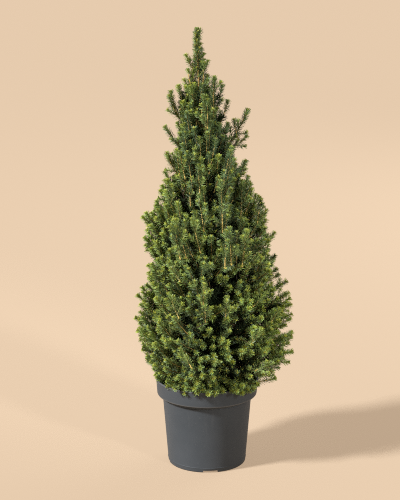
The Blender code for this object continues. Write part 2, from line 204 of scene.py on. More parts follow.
class Nodes:
    """Adds shader nodes to a material and links them."""

    def __init__(self, mat):
        self.tree = mat.node_tree
        self.shader = self.tree.nodes["Principled BSDF"]
        self.place = self.add("ShaderNodeTexCoord").outputs["Object"]

    def add(self, kind, **values):
        node = self.tree.nodes.new(kind)
        for key, value in values.items():
            setattr(node, key, value)
        return node

    def link(self, out, into):
        self.tree.links.new(out, into)

    def stretched(self, scale):
        node = self.add("ShaderNodeMapping")
        node.inputs["Scale"].default_value = scale
        self.link(self.place, node.inputs["Vector"])
        return node.outputs["Vector"]

    def height(self):
        node = self.add("ShaderNodeSeparateXYZ")
        self.link(self.place, node.inputs[0])
        return node.outputs["Z"]

    def noise(self, scale, detail, roughness=0.55, place=None):
        node = self.add("ShaderNodeTexNoise")
        node.inputs["Scale"].default_value = scale
        node.inputs["Detail"].default_value = detail
        node.inputs["Roughness"].default_value = roughness
        self.link(place or self.place, node.inputs["Vector"])
        return node.outputs["Fac"]

    def ramp(self, value, stops):
        """A colour ramp whose stops are (position, colour)."""
        node = self.add("ShaderNodeValToRGB")
        ramp = node.color_ramp
        while len(ramp.elements) < len(stops):
            ramp.elements.new(0.5)
        for element, (position, colour) in zip(ramp.elements, stops):
            element.position = position
            element.color = (*colour, 1.0)
        self.link(value, node.inputs["Fac"])
        return node.outputs["Color"]

    def mix(self, share, first, second):
        """Mixes two colours. A Mix node keeps its colours in sockets 6 and 7, and its result in 2."""
        node = self.add("ShaderNodeMix", data_type="RGBA")
        for out, socket in ((share, 0), (first, 6), (second, 7)):
            self.link(out, node.inputs[socket])
        return node.outputs[2]

    def level(self, value, low, high, to_low=0.0, to_high=1.0):
        """The value mapped from one range to another, and held inside it."""
        node = self.add("ShaderNodeMapRange", clamp=True)
        for key, number in zip(("From Min", "From Max", "To Min", "To Max"), (low, high, to_low, to_high)):
            node.inputs[key].default_value = number
        self.link(value, node.inputs["Value"])
        return node.outputs["Result"]

    def bump(self, height, distance, strength, below=None):
        node = self.add("ShaderNodeBump")
        node.inputs["Distance"].default_value = distance
        node.inputs["Strength"].default_value = strength
        self.link(height, node.inputs["Height"])
        if below is not None:
            self.link(below, node.inputs["Normal"])
        return node.outputs["Normal"]


def pot_material():
    """Dull dark moulded plastic, dusty and streaked with dried water, with wear and painted highlight along
    its step and rim.
    """
    mat = plain_material("pot_plastic", (0.06, 0.062, 0.065), 0.5, Specular_IOR_Level=0.12)
    n = Nodes(mat)
    cloud = n.noise(9.0, 4.0)
    clean = n.ramp(cloud, ((0.30, (0.043, 0.051, 0.060)), (0.72, (0.058, 0.066, 0.076))))
    dust_and_highlight = n.ramp(cloud, ((0.2, (0.110, 0.112, 0.114)), (0.8, (0.150, 0.150, 0.150))))
    specks = n.level(n.noise(330.0, 2.0), 0.66, 0.78, 0.0, 0.35)
    streaks = n.noise(1.0, 5.0, place=n.stretched((70.0, 70.0, 5.0)))
    marks = n.level(streaks, 0.58, 0.80, 0.0, 0.16)
    height = n.height()
    step = POT_HEIGHT - BAND_HEIGHT
    near_step = n.level(height, step - 2 * MM, step + 6 * MM)
    none, half = (0, 0, 0), (0.5, 0.5, 0.5)
    # painted highlight, partly wear: lighter lines along the band's lower lip and along the rim's top
    step_wear_and_highlight = n.ramp(near_step, ((0.25, none), (0.40, half), (0.55, half), (0.75, none)))
    rim_wear_and_highlight = n.level(height, POT_HEIGHT - 3 * MM, POT_HEIGHT - 1 * MM, 0.0, 0.45)
    colour = clean
    for share in (marks, specks, step_wear_and_highlight, rim_wear_and_highlight):
        colour = n.mix(share, colour, dust_and_highlight)
    n.link(colour, n.shader.inputs["Base Color"])
    n.link(n.level(cloud, 0.3, 0.7, 0.44, 0.58), n.shader.inputs["Roughness"])
    grain = n.bump(n.noise(900.0, 2.0), 0.00012, 0.55)
    waves = n.bump(n.noise(26.0, 2.0), 0.0009, 0.35, below=grain)
    n.link(waves, n.shader.inputs["Normal"])
    return mat


def soil_material():
    """Dark moist peat with lighter crumbs."""
    mat = plain_material("potting_soil", (0.03, 0.02, 0.014), 0.95, Specular_IOR_Level=0.2)
    n = Nodes(mat)
    lumps = n.noise(140.0, 6.0, roughness=0.7)
    wet, moist, dry = (0.010, 0.007, 0.005), (0.032, 0.021, 0.013), (0.085, 0.055, 0.034)
    colour = n.ramp(lumps, ((0.30, wet), (0.55, moist), (0.75, dry)))
    n.link(colour, n.shader.inputs["Base Color"])
    n.link(n.bump(lumps, 0.002, 0.8), n.shader.inputs["Normal"])
    return mat


def bark_material():
    """Thin grey-brown flaky bark with dark cracks, darkened as painted shade, and the tan bark of young
    wood near the top.
    """
    mat = plain_material("bark", (0.15, 0.095, 0.06), 0.85, Specular_IOR_Level=0.25)
    n = Nodes(mat)
    flakes = n.noise(1.0, 6.0, roughness=0.65, place=n.stretched((420.0, 420.0, 120.0)))
    # painted shade: these grey-browns are darkened for limbs that stand in the crown's shade
    crack, face, edge = (0.010, 0.006, 0.004), (0.026, 0.017, 0.012), (0.062, 0.045, 0.033)
    old = n.ramp(flakes, ((0.32, crack), (0.50, face), (0.68, edge)))
    tan = n.ramp(flakes, ((0.30, (0.330, 0.215, 0.075)), (0.70, (0.560, 0.380, 0.125))))
    young = n.level(n.height(), 0.76, 0.82)
    n.link(n.mix(young, old, tan), n.shader.inputs["Base Color"])
    n.link(n.bump(flakes, 0.0008, 0.9), n.shader.inputs["Normal"])
    return mat


# ------------------------------------------------------------------ pot

POT_SIDES = 144
RIM_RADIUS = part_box("pot")[1].x
POT_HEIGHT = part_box("pot")[1].z
BAND_HEIGHT = 0.188 * POT_HEIGHT
BAND_FOOT_RADIUS = 0.972 * RIM_RADIUS
WALL_TOP_RADIUS = 0.865 * RIM_RADIUS
WALL_FOOT_RADIUS = 0.758 * RIM_RADIUS
WALL = 2.2 * MM
STEP_DROP = 5.0 * MM
FOOT_RING_WIDTH = 5.0 * MM
FOOT_CHAMFER = 2.0 * MM
CHANNEL_DEPTH = 6.0 * MM
PAD_RADIUS = 0.044
FLOOR_THICKNESS = 3.0 * MM
NOTCHES = 4
NOTCH_AZIMUTH = math.radians(-85.0)
NOTCH_WIDTH = 33.0 * MM
NOTCH_HEIGHT = 5.0 * MM
DRAIN_RADIUS = 7.0 * MM
DRAIN_SIDES = 24
EDGE_ROUNDING = 0.35 * MM  # of the notches and drain holes


def rounded(corner_points, arc_steps=3):
    """A profile of (radius, height, rounding) corners, with each corner turned into a short arc."""
    points = []
    count = len(corner_points)
    for i, (x, z, rounding) in enumerate(corner_points):
        here = Vector((x, z))
        if not rounding or i in (0, count - 1):
            points.append(here)
            continue
        before = Vector(corner_points[i - 1][:2]) - here
        after = Vector(corner_points[i + 1][:2]) - here
        first = here + before.normalized() * min(rounding, before.length / 2)
        last = here + after.normalized() * min(rounding, after.length / 2)
        for k in range(arc_steps + 1):
            t = k / arc_steps
            points.append(first * (1 - t) ** 2 + here * 2 * t * (1 - t) + last * t**2)
    return points


def pot_wall_radius(height):
    top = POT_HEIGHT - BAND_HEIGHT - STEP_DROP
    return WALL_FOOT_RADIUS + (WALL_TOP_RADIUS - WALL_FOOT_RADIUS) * height / top


def pot_profile():
    """The pot's closed section from the middle of the floor, up inside, over the rim and down outside."""
    step = POT_HEIGHT - BAND_HEIGHT
    raised = CHANNEL_DEPTH + FLOOR_THICKNESS
    rib = 0.5 * MM
    lip = 1.1 * MM
    ring_inside = WALL_FOOT_RADIUS - FOOT_CHAMFER - FOOT_RING_WIDTH
    rib_heights = (0.0105, step - STEP_DROP - 0.0035)  # fine moulded lines round the wall
    corners = [
        (0, FLOOR_THICKNESS, 0),
        (PAD_RADIUS - FLOOR_THICKNESS, FLOOR_THICKNESS, 1.5 * MM),
        (PAD_RADIUS, raised, 1.5 * MM),
        (pot_wall_radius(raised) - WALL, raised, 2.5 * MM),
        (WALL_TOP_RADIUS - WALL, step - STEP_DROP + WALL / 2, 1.5 * MM),
        (BAND_FOOT_RADIUS - WALL, step + WALL, 2.0 * MM),
        (RIM_RADIUS - 2 * WALL, POT_HEIGHT - 4.0 * MM, 1.0 * MM),
        (RIM_RADIUS - 1.6 * WALL, POT_HEIGHT, lip),
        (RIM_RADIUS, POT_HEIGHT, lip),
        (RIM_RADIUS, POT_HEIGHT - 3.6 * MM, 0.7 * MM),
        (RIM_RADIUS - 0.8 * MM, POT_HEIGHT - 4.4 * MM, 0.7 * MM),
        (BAND_FOOT_RADIUS + 0.2 * MM, step + 0.5 * MM, 3.2 * MM),
        (BAND_FOOT_RADIUS - 4.0 * MM, step, 1.2 * MM),
        (WALL_TOP_RADIUS + 0.6 * MM, step - STEP_DROP, 2.6 * MM),
    ]
    for height in reversed(rib_heights):
        radius = pot_wall_radius(height)
        corners += [
            (radius + rib * 0.1, height + 1.0 * MM, 0.3 * MM),
            (radius + rib, height + 0.5 * MM, 0.3 * MM),
            (radius + rib, height - 0.5 * MM, 0.3 * MM),
            (radius + rib * 0.1, height - 1.0 * MM, 0.3 * MM),
        ]
    corners += [
        (WALL_FOOT_RADIUS, FOOT_CHAMFER, 1.2 * MM),
        (WALL_FOOT_RADIUS - FOOT_CHAMFER, 0, 0.8 * MM),
        (ring_inside, 0, 0.8 * MM),
        (ring_inside, CHANNEL_DEPTH, 1.2 * MM),
        (PAD_RADIUS + FLOOR_THICKNESS, CHANNEL_DEPTH, 1.2 * MM),
        (PAD_RADIUS, 0, 1.0 * MM),
        (0, 0, 0),
    ]
    return rounded(corners)


def circle(radius, sides):
    turn = full_turn(sides)
    return np.stack([radius * np.cos(turn), radius * np.sin(turn)], axis=-1)


def turned_object(name, profile, sides, materials):
    """A closed solid of revolution from a profile whose first and last points are on the axis."""
    points = [(x, y, spot.y) for spot in profile[1:-1] for x, y in circle(spot.x, sides)]
    points += [(0, 0, profile[0].y), (0, 0, profile[-1].y)]
    return simple_object(name, points, capped_faces(len(profile) - 2, sides), materials)


def prism(name, ring, low, high):
    """A closed upright prism over a ring of (x, y) points."""
    count = len(ring)
    points = [(x, y, z) for z in (low, high) for x, y in ring]
    faces = [tuple(reversed(range(count))), tuple(range(count, 2 * count))]
    faces += [(i, (i + 1) % count, count + (i + 1) % count, count + i) for i in range(count)]
    return simple_object(name, points, faces)


def notch_ring(azimuth):
    """A notch's outline from above: a block across the foot ring."""
    out = Vector((math.cos(azimuth), math.sin(azimuth)))
    side = Vector((-out.y, out.x))
    inner = WALL_FOOT_RADIUS - FOOT_CHAMFER - FOOT_RING_WIDTH - 2 * WALL
    outer = WALL_FOOT_RADIUS + 2 * WALL
    spots = ((inner, -1), (outer, -1), (outer, 1), (inner, 1))
    return [tuple(out * r + side * s * NOTCH_WIDTH / 2) for r, s in spots]


def drain_ring(azimuth):
    radius = (PAD_RADIUS + WALL_FOOT_RADIUS - FOOT_RING_WIDTH) / 2
    middle = radius * np.array([math.cos(azimuth), math.sin(azimuth)])
    return middle + circle(DRAIN_RADIUS, DRAIN_SIDES)


def apply_modifiers(obj):
    evaluated = obj.evaluated_get(bpy.context.evaluated_depsgraph_get())
    mesh = bpy.data.meshes.new_from_object(evaluated)
    obj.modifiers.clear()
    obj.data = mesh


def make_pot():
    pot = turned_object("nursery_pot", pot_profile(), POT_SIDES, [pot_material()])
    cutters = []
    drain_low, drain_high = CHANNEL_DEPTH / 2, CHANNEL_DEPTH + 2 * FLOOR_THICKNESS
    for azimuth in NOTCH_AZIMUTH + full_turn(NOTCHES):
        cutters.append(prism("notch", notch_ring(azimuth), -NOTCH_HEIGHT, NOTCH_HEIGHT))
        cutters.append(prism("drain", drain_ring(azimuth), drain_low, drain_high))
    for cutter in cutters:
        hole = pot.modifiers.new(cutter.name, "BOOLEAN")
        hole.object = cutter
        hole.operation = "DIFFERENCE"
    edge = pot.modifiers.new("notch_edges", "BEVEL")
    edge.width = EDGE_ROUNDING
    edge.segments = 1
    edge.limit_method = "ANGLE"
    edge.angle_limit = math.radians(50)
    bpy.context.view_layer.update()
    apply_modifiers(pot)
    for cutter in cutters:
        bpy.data.objects.remove(cutter)
    pot.data.shade_smooth()
    pot.data.set_sharp_from_angle(angle=math.radians(40))
    set_on_plant(pot, "pot_plastic", "pot")


# ------------------------------------------------------------------ soil

SOIL_TOP = 0.178
SOIL_RINGS = 26
SOIL_SIDES = 72
SOIL_LUMPS = ((38, 3.0 * MM, 0.0), (130, 1.4 * MM, 3.0))  # scale of the noise, height of its lumps, layer
CRUMBS = 520
CRUMB_SIZES_MM = (1.2, 4.2)
CRUMB_CORNERS = ((1, 0, 0), (0, 1, 0), (-1, 0, 0), (0, -1, 0), (0, 0, 1), (0, 0, -1))
CRUMB_FACES = ((0, 1, 4), (1, 2, 4), (2, 3, 4), (3, 0, 4), (1, 0, 5), (2, 1, 5), (3, 2, 5), (0, 3, 5))


def soil_height(x, y):
    height = SOIL_TOP
    for scale, lump, layer in SOIL_LUMPS:
        height += lump * noise.noise(Vector((x, y, layer)) * scale)
    return height


def make_soil():
    """Crumbly soil under the crown: a lumpy surface with a closed underside, and loose crumbs on it."""
    material = soil_material()
    edge = WALL_TOP_RADIUS + 0.5 * (BAND_FOOT_RADIUS - WALL_TOP_RADIUS)
    inset = 1.5 * WALL  # what lies under the surface stands clear of the pot's wall
    raised = CHANNEL_DEPTH + FLOOR_THICKNESS
    foot = raised + 0.5 * MM
    points = []
    for ring in range(1, SOIL_RINGS + 1):
        points += [(x, y, soil_height(x, y)) for x, y in circle(edge * ring / SOIL_RINGS, SOIL_SIDES)]
    for radius, height in (
        (WALL_TOP_RADIUS - inset, POT_HEIGHT - BAND_HEIGHT - STEP_DROP),
        (pot_wall_radius(raised) - inset, foot),
    ):
        points += [(x, y, height) for x, y in circle(radius, SOIL_SIDES)]
    points += [(0, 0, soil_height(0, 0)), (0, 0, foot)]
    faces = capped_faces(SOIL_RINGS + 2, SOIL_SIDES)
    soil = simple_object("potting_mix", points, faces, [material], smooth=True)
    set_on_plant(soil, "potting_soil", "root_ball")
    set_on_plant(make_crumbs(edge - 4 * MM, material), "potting_soil")


def make_crumbs(reach, material):
    """Loose bits of bark and peat: small uneven octahedra that lie on the soil."""
    radius = reach * np.sqrt(DICE.uniform(0.03, 1.0, CRUMBS))
    azimuth = DICE.uniform(0, 2 * math.pi, CRUMBS)
    size = DICE.uniform(*CRUMB_SIZES_MM, CRUMBS) * MM
    centre = azimuth_direction(azimuth) * radius[:, None]
    centre[:, 2] = [soil_height(x, y) for x, y, _ in centre]
    centre[:, 2] += 0.15 * size
    spin = DICE.uniform(0, 2 * math.pi, CRUMBS)
    stretch = DICE.uniform(0.45, 1.35, (CRUMBS, len(CRUMB_CORNERS), 1))
    points = np.array(CRUMB_CORNERS, float) * stretch * size[:, None, None] * np.array([1.0, 0.8, 0.5])
    x, y, z = np.moveaxis(points, 2, 0)
    cos, sin = np.cos(spin)[:, None], np.sin(spin)[:, None]
    points = np.stack([x * cos - y * sin, x * sin + y * cos, z], axis=-1) + centre[:, None]
    faces = np.array(CRUMB_FACES) + len(CRUMB_CORNERS) * np.arange(CRUMBS)[:, None, None]
    return build_object("soil_crumbs", points.reshape(-1, 3), faces.reshape(-1, 3), [material])


# ------------------------------------------------------------------ trunk and limbs

TRUNK_SIDES = 28
TRUNK_STEP = 4.0 * MM
LIMB_SIDES = 9
LIMB_RINGS = 15
TRUNK_THINNING = ((0.74, 1.0), (0.83, 0.62))  # share of the CAD trunk's radius by height
LIMB_RADII = ((0.03, 1.6 * MM), (0.16, 4.2 * MM))  # radius at a limb's foot by its length
CRACK_DEPTH = 0.16  # relief of the bark, as shares of the limb's radius
FLAKE_HEIGHT = 0.06
CRACK_WIDTH = 0.12  # bark cracks where the noise of its plates is this near zero
PLATE_SCALE = (260, 85)  # of the noise, level and upright
FLAKE_SCALE = (700, 260)
FULL_RELIEF_RADIUS = 10.0 * MM  # thinner limbs have smoother bark
LIMB_TAPER = 0.62


def trunk_line():
    """The trunk's centre and radius at each ring of the CAD trunk, as heights, centres and radii."""
    points = node_vertices("trunk")
    points = points[np.argsort(points[:, 2])]
    splits = np.flatnonzero(np.diff(points[:, 2]) > 0.5 * MM) + 1
    rings = [ring for ring in np.split(points, splits) if len(ring) >= 6]
    heights = np.array([ring[:, 2].mean() for ring in rings])
    centres = np.array([(ring.min(0) + ring.max(0)) / 2 for ring in rings])
    radii = np.array([(ring[:, :2].max(0) - ring[:, :2].min(0)).mean() / 2 for ring in rings])
    return heights, centres, radii


TRUNK_HEIGHTS, TRUNK_CENTRES, TRUNK_RADII = trunk_line()


def trunk_centre(height):
    """Centre of the trunk at each height."""
    x = np.interp(height, TRUNK_HEIGHTS, TRUNK_CENTRES[:, 0])
    y = np.interp(height, TRUNK_HEIGHTS, TRUNK_CENTRES[:, 1])
    return np.stack([x, y, np.asarray(height, float)], axis=-1)


def trunk_radius(height):
    return np.interp(height, TRUNK_HEIGHTS, TRUNK_RADII)


def bark_noise(point, level, upright, seed):
    x, y, z = point
    return noise.noise(Vector((x * level, y * level, z * upright + seed)))


def bark_relief(points, radius, seed):
    """How far the bark stands out at each point, as a share of the limb's radius: plates and cracks."""
    relief = np.empty(len(points))
    for i, point in enumerate(points):
        crack = max(0.0, CRACK_WIDTH - abs(bark_noise(point, *PLATE_SCALE, seed))) / CRACK_WIDTH
        relief[i] = FLAKE_HEIGHT * bark_noise(point, *FLAKE_SCALE, seed) - CRACK_DEPTH * crack
    return relief * np.clip(radius / FULL_RELIEF_RADIUS, 0.3, 1.0)


def limb_mesh(centres, radii, sides, seed):
    """Points and faces of one limb with bark relief, closed at both ends."""
    tangents = unit(np.gradient(centres, axis=0))
    side, upward = across(np.broadcast_to(unit(tangents.mean(0)[None]), tangents.shape))
    spokes = turned(side[:, None], upward[:, None], full_turn(sides))
    skin = (centres[:, None] + spokes * radii[:, None, None]).reshape(-1, 3)
    wide = np.repeat(radii, sides)
    relief = bark_relief(skin, wide, seed)
    skin = skin + spokes.reshape(-1, 3) * (relief * wide)[:, None]
    faces = [(first, *others[::-1]) for first, *others in capped_faces(len(centres), sides)]
    return np.vstack([skin, centres[0], centres[-1]]), faces


def join_limbs(name, parts, material, *nodes):
    points, faces, start = [], [], 0
    for part_points, part_faces in parts:
        points.append(part_points)
        faces += [tuple(i + start for i in face) for face in part_faces]
        start += len(part_points)
    joined = simple_object(name, np.vstack(points).tolist(), faces, [material], smooth=True)
    set_on_plant(joined, "bark", *nodes)


# ------------------------------------------------------------------ the crown's masses

MASS_NAMES = sorted(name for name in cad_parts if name.startswith("foliage_"))
BOUGH_NAMES = sorted(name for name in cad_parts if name.startswith("bough_"))
CROWN_LOW = min(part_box(name)[0].z for name in MASS_NAMES)
CROWN_HIGH = max(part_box(name)[1].z for name in MASS_NAMES)
RAYS = 26000
RAY_TILTS = (-35.0, 0.0, 0.0, 25.0, 50.0)  # degrees up from level
RAY_START = 0.5
RAY_LENGTH = 0.62
NEIGHBOURS = tuple(itertools.product((-1, 0, 1), repeat=3))


def crown_tree():
    """A search tree over all masses, and the mass that each of its faces belongs to."""
    points, faces, owner, start = [], [], [], 0
    for number, name in enumerate(MASS_NAMES):
        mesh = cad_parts[name].data
        points += [v.co.copy() for v in mesh.vertices]
        faces += [[i + start for i in p.vertices] for p in mesh.polygons]
        owner += [number] * len(mesh.polygons)
        start += len(mesh.vertices)
    return BVHTree.FromPolygons(points, faces), np.array(owner)


def outside_points(spacing, height_scale=None):
    """Points spread over what shows of the crown, at least the spacing apart, and the mass each is on.

    Rays run in towards the trunk from the sides, and from above and below. What they meet first shows.
    height_scale, if given, maps heights to the scale in which their spacing is measured.
    """
    tree, owner = crown_tree()
    height = DICE.uniform(CROWN_LOW, CROWN_HIGH + 0.01, RAYS)
    azimuth = DICE.uniform(0, 2 * math.pi, RAYS)
    tilt = np.radians(DICE.choice(RAY_TILTS, RAYS) + DICE.uniform(-12, 12, RAYS))
    way_out = turned(azimuth_direction(azimuth + DICE.normal(0, 0.35, RAYS)), UP, tilt)
    start = trunk_centre(np.minimum(height, CROWN_HIGH - 0.004)) + way_out * RAY_START
    kept, kept_mass, grid = [], [], {}
    for origin, direction in zip(start, -way_out):
        hit, _, face, _ = tree.ray_cast(Vector(origin), Vector(direction), RAY_LENGTH)
        if hit is None:
            continue
        place = tuple(hit)
        if height_scale:
            hit.z = height_scale(hit.z)
        cell = tuple(int(math.floor(c / spacing)) for c in hit)
        near = (grid.get(tuple(map(sum, zip(cell, step))), ()) for step in NEIGHBOURS)
        if any((other - hit).length < spacing for bucket in near for other in bucket):
            continue
        grid.setdefault(cell, []).append(hit)
        kept.append(place)
        kept_mass.append(owner[face])
    return np.array(kept), np.array(kept_mass)


def from_trunk(points):
    """The trunk's centre beside each point, and the level way out from there."""
    axis = trunk_centre(np.minimum(points[:, 2], TRUNK_HEIGHTS[-1]))
    return axis, unit(flattened(points - axis))


# ------------------------------------------------------------------ growth

SPRAY_SPACING = 17.3 * MM
INNER_SPACING = 21.5 * MM
NEEDLE_REACH = 6.0 * MM  # needles reach this far past a shoot's tip, so tips start inside the outline
STEM_RADIUS = 1.2 * MM
LONE_MASSES = ("foliage_leader", "foliage_left_spray", "foliage_right_spray")
LEADER_FOOT = 0.872
LEADER_SHOWS = (0.815, 0.905)  # the heights between which the leader's stem shows in front
LEADER_REACH = ((0, 0.026), (0.4, 0.018), (0.8, 0.012), (0.92, 0.006))  # of side shoots, from foot to tip
LEADER_SIDE_SHOOTS = 30
LEADER_FORK = 0.82  # the share of the leader below its second tip
TWIN_OFFSET = np.array([[7.0, 1.0, -1.0]]) * MM  # of the second tip from the first
SLENDER_FROM = 0.74  # above this height shoots are slender, with few side shoots

# Shoots that stand out of the outline, hang over the rim or close a view through the crown's flanks: tip
# x, y and z in mm, tilt from upright to the right in degrees, length in mm.
STANDOUTS = (
    (-45, 0, 922, -20, 32), (-41, 5, 890, -26, 28), (-9, 0, 925, 26, 26), (1, -5, 910, 24, 30),
    (-50, 0, 869, -20, 38), (1, 5, 877, 12, 34), (-62, -5, 856, -12, 62), (-79, 0, 843, -13, 80),
    (15, -30, 872, 3, 95), (32, 5, 856, 9, 62), (44, 5, 822, 13, 55), (87, 0, 803, 23, 92),
    (58, -12, 783, -6, 45), (85, 4, 745, 45, 38), (-91, 0, 766, -34, 62), (-86, 0, 706, -28, 48),
    (-92, 5, 665, -30, 48), (-98, -5, 636, -32, 50), (-111, 0, 601, -35, 50), (-134, 0, 574, -42, 55),
    (-141, 10, 563, -50, 48), (-137, -5, 520, -52, 50), (-129, 0, 455, -50, 42), (-134, 5, 409, -52, 45),
    (-142, -10, 396, -44, 44), (-154, 0, 386, -56, 52), (-158, -5, 336, -66, 52), (-154, 5, 303, -74, 50),
    (-143, 0, 260, -84, 46), (-134, -5, 241, -96, 40), (84, 0, 690, 22, 48), (95, -5, 639, 20, 48),
    (113, 0, 611, 26, 50), (129, 5, 557, 34, 48), (148, 0, 529, 48, 50), (149, -5, 478, 54, 50),
    (158, 5, 433, 58, 46), (175, 0, 419, 60, 56), (185, -5, 367, 68, 52), (187, 5, 341, 74, 46),
    (187, 0, 293, 80, 52), (190, 0, 256, 86, 52), (182, -5, 233, 94, 48), (152, -10, 196, 80, 50),
    (120, -5, 596, 34, 45), (130, 5, 580, 40, 45), (163, 0, 411, 58, 45), (176, 5, 337, 66, 45),
    (174, 0, 318, 72, 45), (-135, 5, 500, -50, 45), (-144, 5, 403, -52, 45), (-147, -5, 366, -60, 45),
    (-102, 0, 624, -32, 45), (-112, 5, 590, -38, 45), (-82, 0, 834, -16, 50), (60, -126, 368, 6, 45),
    (140, 30, 392, 50, 60), (130, 40, 372, 50, 60), (-88, -20, 712, -20, 50), (153, 0, 447, 50, 50),
    (183, 0, 379, 60, 48), (185, 0, 332, 70, 48), (160, 0, 372, 56, 55), (68, 25, 655, 10, 60),
    (74, 20, 625, 14, 55), (95, 25, 596, 20, 60), (86, 20, 640, 14, 60), (92, 22, 618, 16, 60),
    (99, 25, 553, 26, 55), (88, 30, 570, 18, 55), (152, 5, 280, 78, 45), (168, -5, 262, 82, 45),
    (146, -10, 300, 70, 45), (165, -15, 352, 62, 55), (142, -20, 392, 50, 50), (130, -10, 425, 42, 50),
    (-71, -108, 206, -40, 36), (-24, -124, 204, -12, 36), (4, -126, 201, 5, 34), (20, -122, 202, 18, 36),
    (58, -116, 204, 25, 36), (76, -112, 196, 36, 40), (88, -104, 203, 45, 34),
)
OVER_RIM_Y = -100  # shoots whose tips lie further forward hang out over the rim
OVER_RIM_HEADING = (-1.0, -0.15)
LEAN_REACH = 400  # a shoot points forward or back by its tip's y in mm over this
BEHIND_TIP = 50.0 * MM  # the spray nearest to this far down a named shoot lends it its bough

# Brushes, which lie on the front of the crown and show their stems: tip x and z in mm, tilt from upright
# to the right in degrees, length in mm.
BRUSHES = (
    (-20, 697, -4, 70), (-18, 636, -8, 80), (29, 668, -2, 110), (49, 728, 12, 85), (76, 654, 2, 110),
    (-70, 573, -10, 70), (-33, 587, -14, 75), (-60, 722, -12, 75), (40, 566, 2, 80), (85, 562, 8, 80),
    (-37, 860, -14, 120), (14, 882, 1, 85), (0, 837, 0, 60), (45, 780, 22, 60), (42, 418, 4, 50),
    (-6, 421, -2, 50), (-84, 421, -26, 60), (-106, 355, -42, 75), (-109, 588, -27, 65),
    (-91, 585, -29, 50), (-68, 588, -16, 85), (-84, 488, -35, 50), (116, 612, 8, 50), (47, 572, -3, 80),
    (112, 505, 38, 45), (-117, 356, -54, 60), (-60, 306, -36, 50), (-114, 391, -40, 60), (-7, 454, 2, 45),
    (131, 405, 50, 45), (160, 372, 33, 35), (144, 263, 78, 45), (118, 343, 40, 40),
)
BRUSH_CLEARANCE = 5.5 * MM
LOW_BRUSH = 0.5  # brushes below this height lie along the crown's slope, the others nearly upright
LOW_BRUSH_LIFT = 2.0 * MM  # how far they stand proud of the crown
LOW_BRUSH_CLEARANCE = 1.25 * BRUSH_CLEARANCE
STEM_SHOWN = 0.7  # the share of a brush that nothing else covers

# Hollows in the front of the crown, dark with shadow and with inner sprays in painted shade: middle x and
# z, half width and half height, in mm.
HOLLOWS = (
    (-3, 705, 9, 9), (5, 619, 8, 24), (52, 628, 6, 16), (-51, 602, 6, 20), (24, 562, 8, 10),
    (60, 566, 6, 9), (-28, 480, 7, 16), (18, 468, 7, 13), (16, 412, 12, 25), (-27, 410, 7, 13),
    (-84, 406, 6, 9), (76, 430, 5, 8), (62, 382, 5, 8), (14, 348, 9, 6), (52, 227, 13, 7),
    (-102, 216, 10, 6), (-6, 214, 6, 5), (47, 212, 7, 5), (100, 216, 12, 8),
)

# Gaps that show what is behind the crown: middle x and z, half width and half height, in mm.
GAPS = (
    (-76, 768, 11, 14), (-80, 680, 8, 26), (-67, 627, 4, 5), (36, 816, 6, 10), (64, 762, 8, 14),
    (-106, 248, 11, 5), (134, 182, 20, 9), (138, 205, 13, 4),
)
SIGHT_SLOPE = 0.25  # seen from slightly above, what is further forward covers what is higher by this share

# Tables by height above the floor: the scale in which spacing is measured, the angle at which shoots climb,
# the share of long ones, how deep tips lie in valleys and on the top's flanks, how much shoots turn up.
COVER_SCALE = ((0.0, 0.0), (0.30, 0.30), (0.50, 0.46), (0.70, 0.575), (1.0, 0.725))
RISE_DEGREES = ((0.20, 2), (0.30, 18), (0.45, 36), (0.62, 60), (0.80, 72), (0.95, 80))
LONG_SHARE = ((0.30, 0.0), (0.38, 0.10), (0.50, 0.45), (0.70, 0.80), (0.78, 1.0))
VALLEY_DEPTH_MM = ((0.25, 6), (0.35, 18), (0.65, 20), (0.80, 8))
TOP_FLANK_DEPTH_MM = ((0.68, 0), (0.76, 21))
LIFT = ((0.20, 0.10), (0.30, 0.25), (0.55, 0.45), (0.70, 0.15))

# Scales of smooth noise, whose patches are about 1 / scale metres across
RIDGE_SCALE = 38.0
RIDGE_SQUASH = np.array([1.0, 1.0, 0.28])  # makes the patches upright ridges
PIT_SCALE = 50.0
TONE_SCALE = 14.0

USUAL_DEPTHS_MM = (-1.0, 7.0, 19.0)  # how far inside the crown's outside short sprays end, and how often
USUAL_DEPTH_SHARES = (0.30, 0.40, 0.30)
LONG_DEPTHS_MM = (-5, 2)
PIT_DEPTH_MM = 22.0
RIGHT_FLANK_PUSH_MM = 10.0  # sprays on the right flank reach this much further out
USUAL_LENGTH = (0.054, 0.012)  # mean and spread
USUAL_LENGTHS = (0.030, 0.080)  # least and most
LONG_LENGTHS = (0.075, 0.110)
INNER_LENGTHS = (0.030, 0.050)
INNER_TOP = 0.88  # there are no inner sprays above this height
INNER_INSETS = (0.18, 0.72)  # shares of the way in to the trunk
SIDE_LEANS = (40, 62)  # degrees between a side shoot and its main shoot
SIDE_LENGTHS = (0.009, 0.026)

LOW_CROWN = 0.52  # the top of the broad part of the crown, whose flanks differ
FRONT = 0.10  # sprays that point less than this share backwards count as the crown's front
FAN_FRONT = 0.15
FAN_TURN = np.array([-0.35, 0.40, 0.15])  # the left front fans out to the left
OPEN_TURN = np.array([0.0, -0.7, 0.2])  # the right front faces forwards


def sparser_upwards(height):
    """A scale of heights that shrinks upwards, where shoots are upright and each covers more."""
    return float(lookup(COVER_SCALE, height))


def rise_angle(height):
    """How steeply shoots climb at each height: outward low down, upright near the top."""
    return np.radians(lookup(RISE_DEGREES, height))


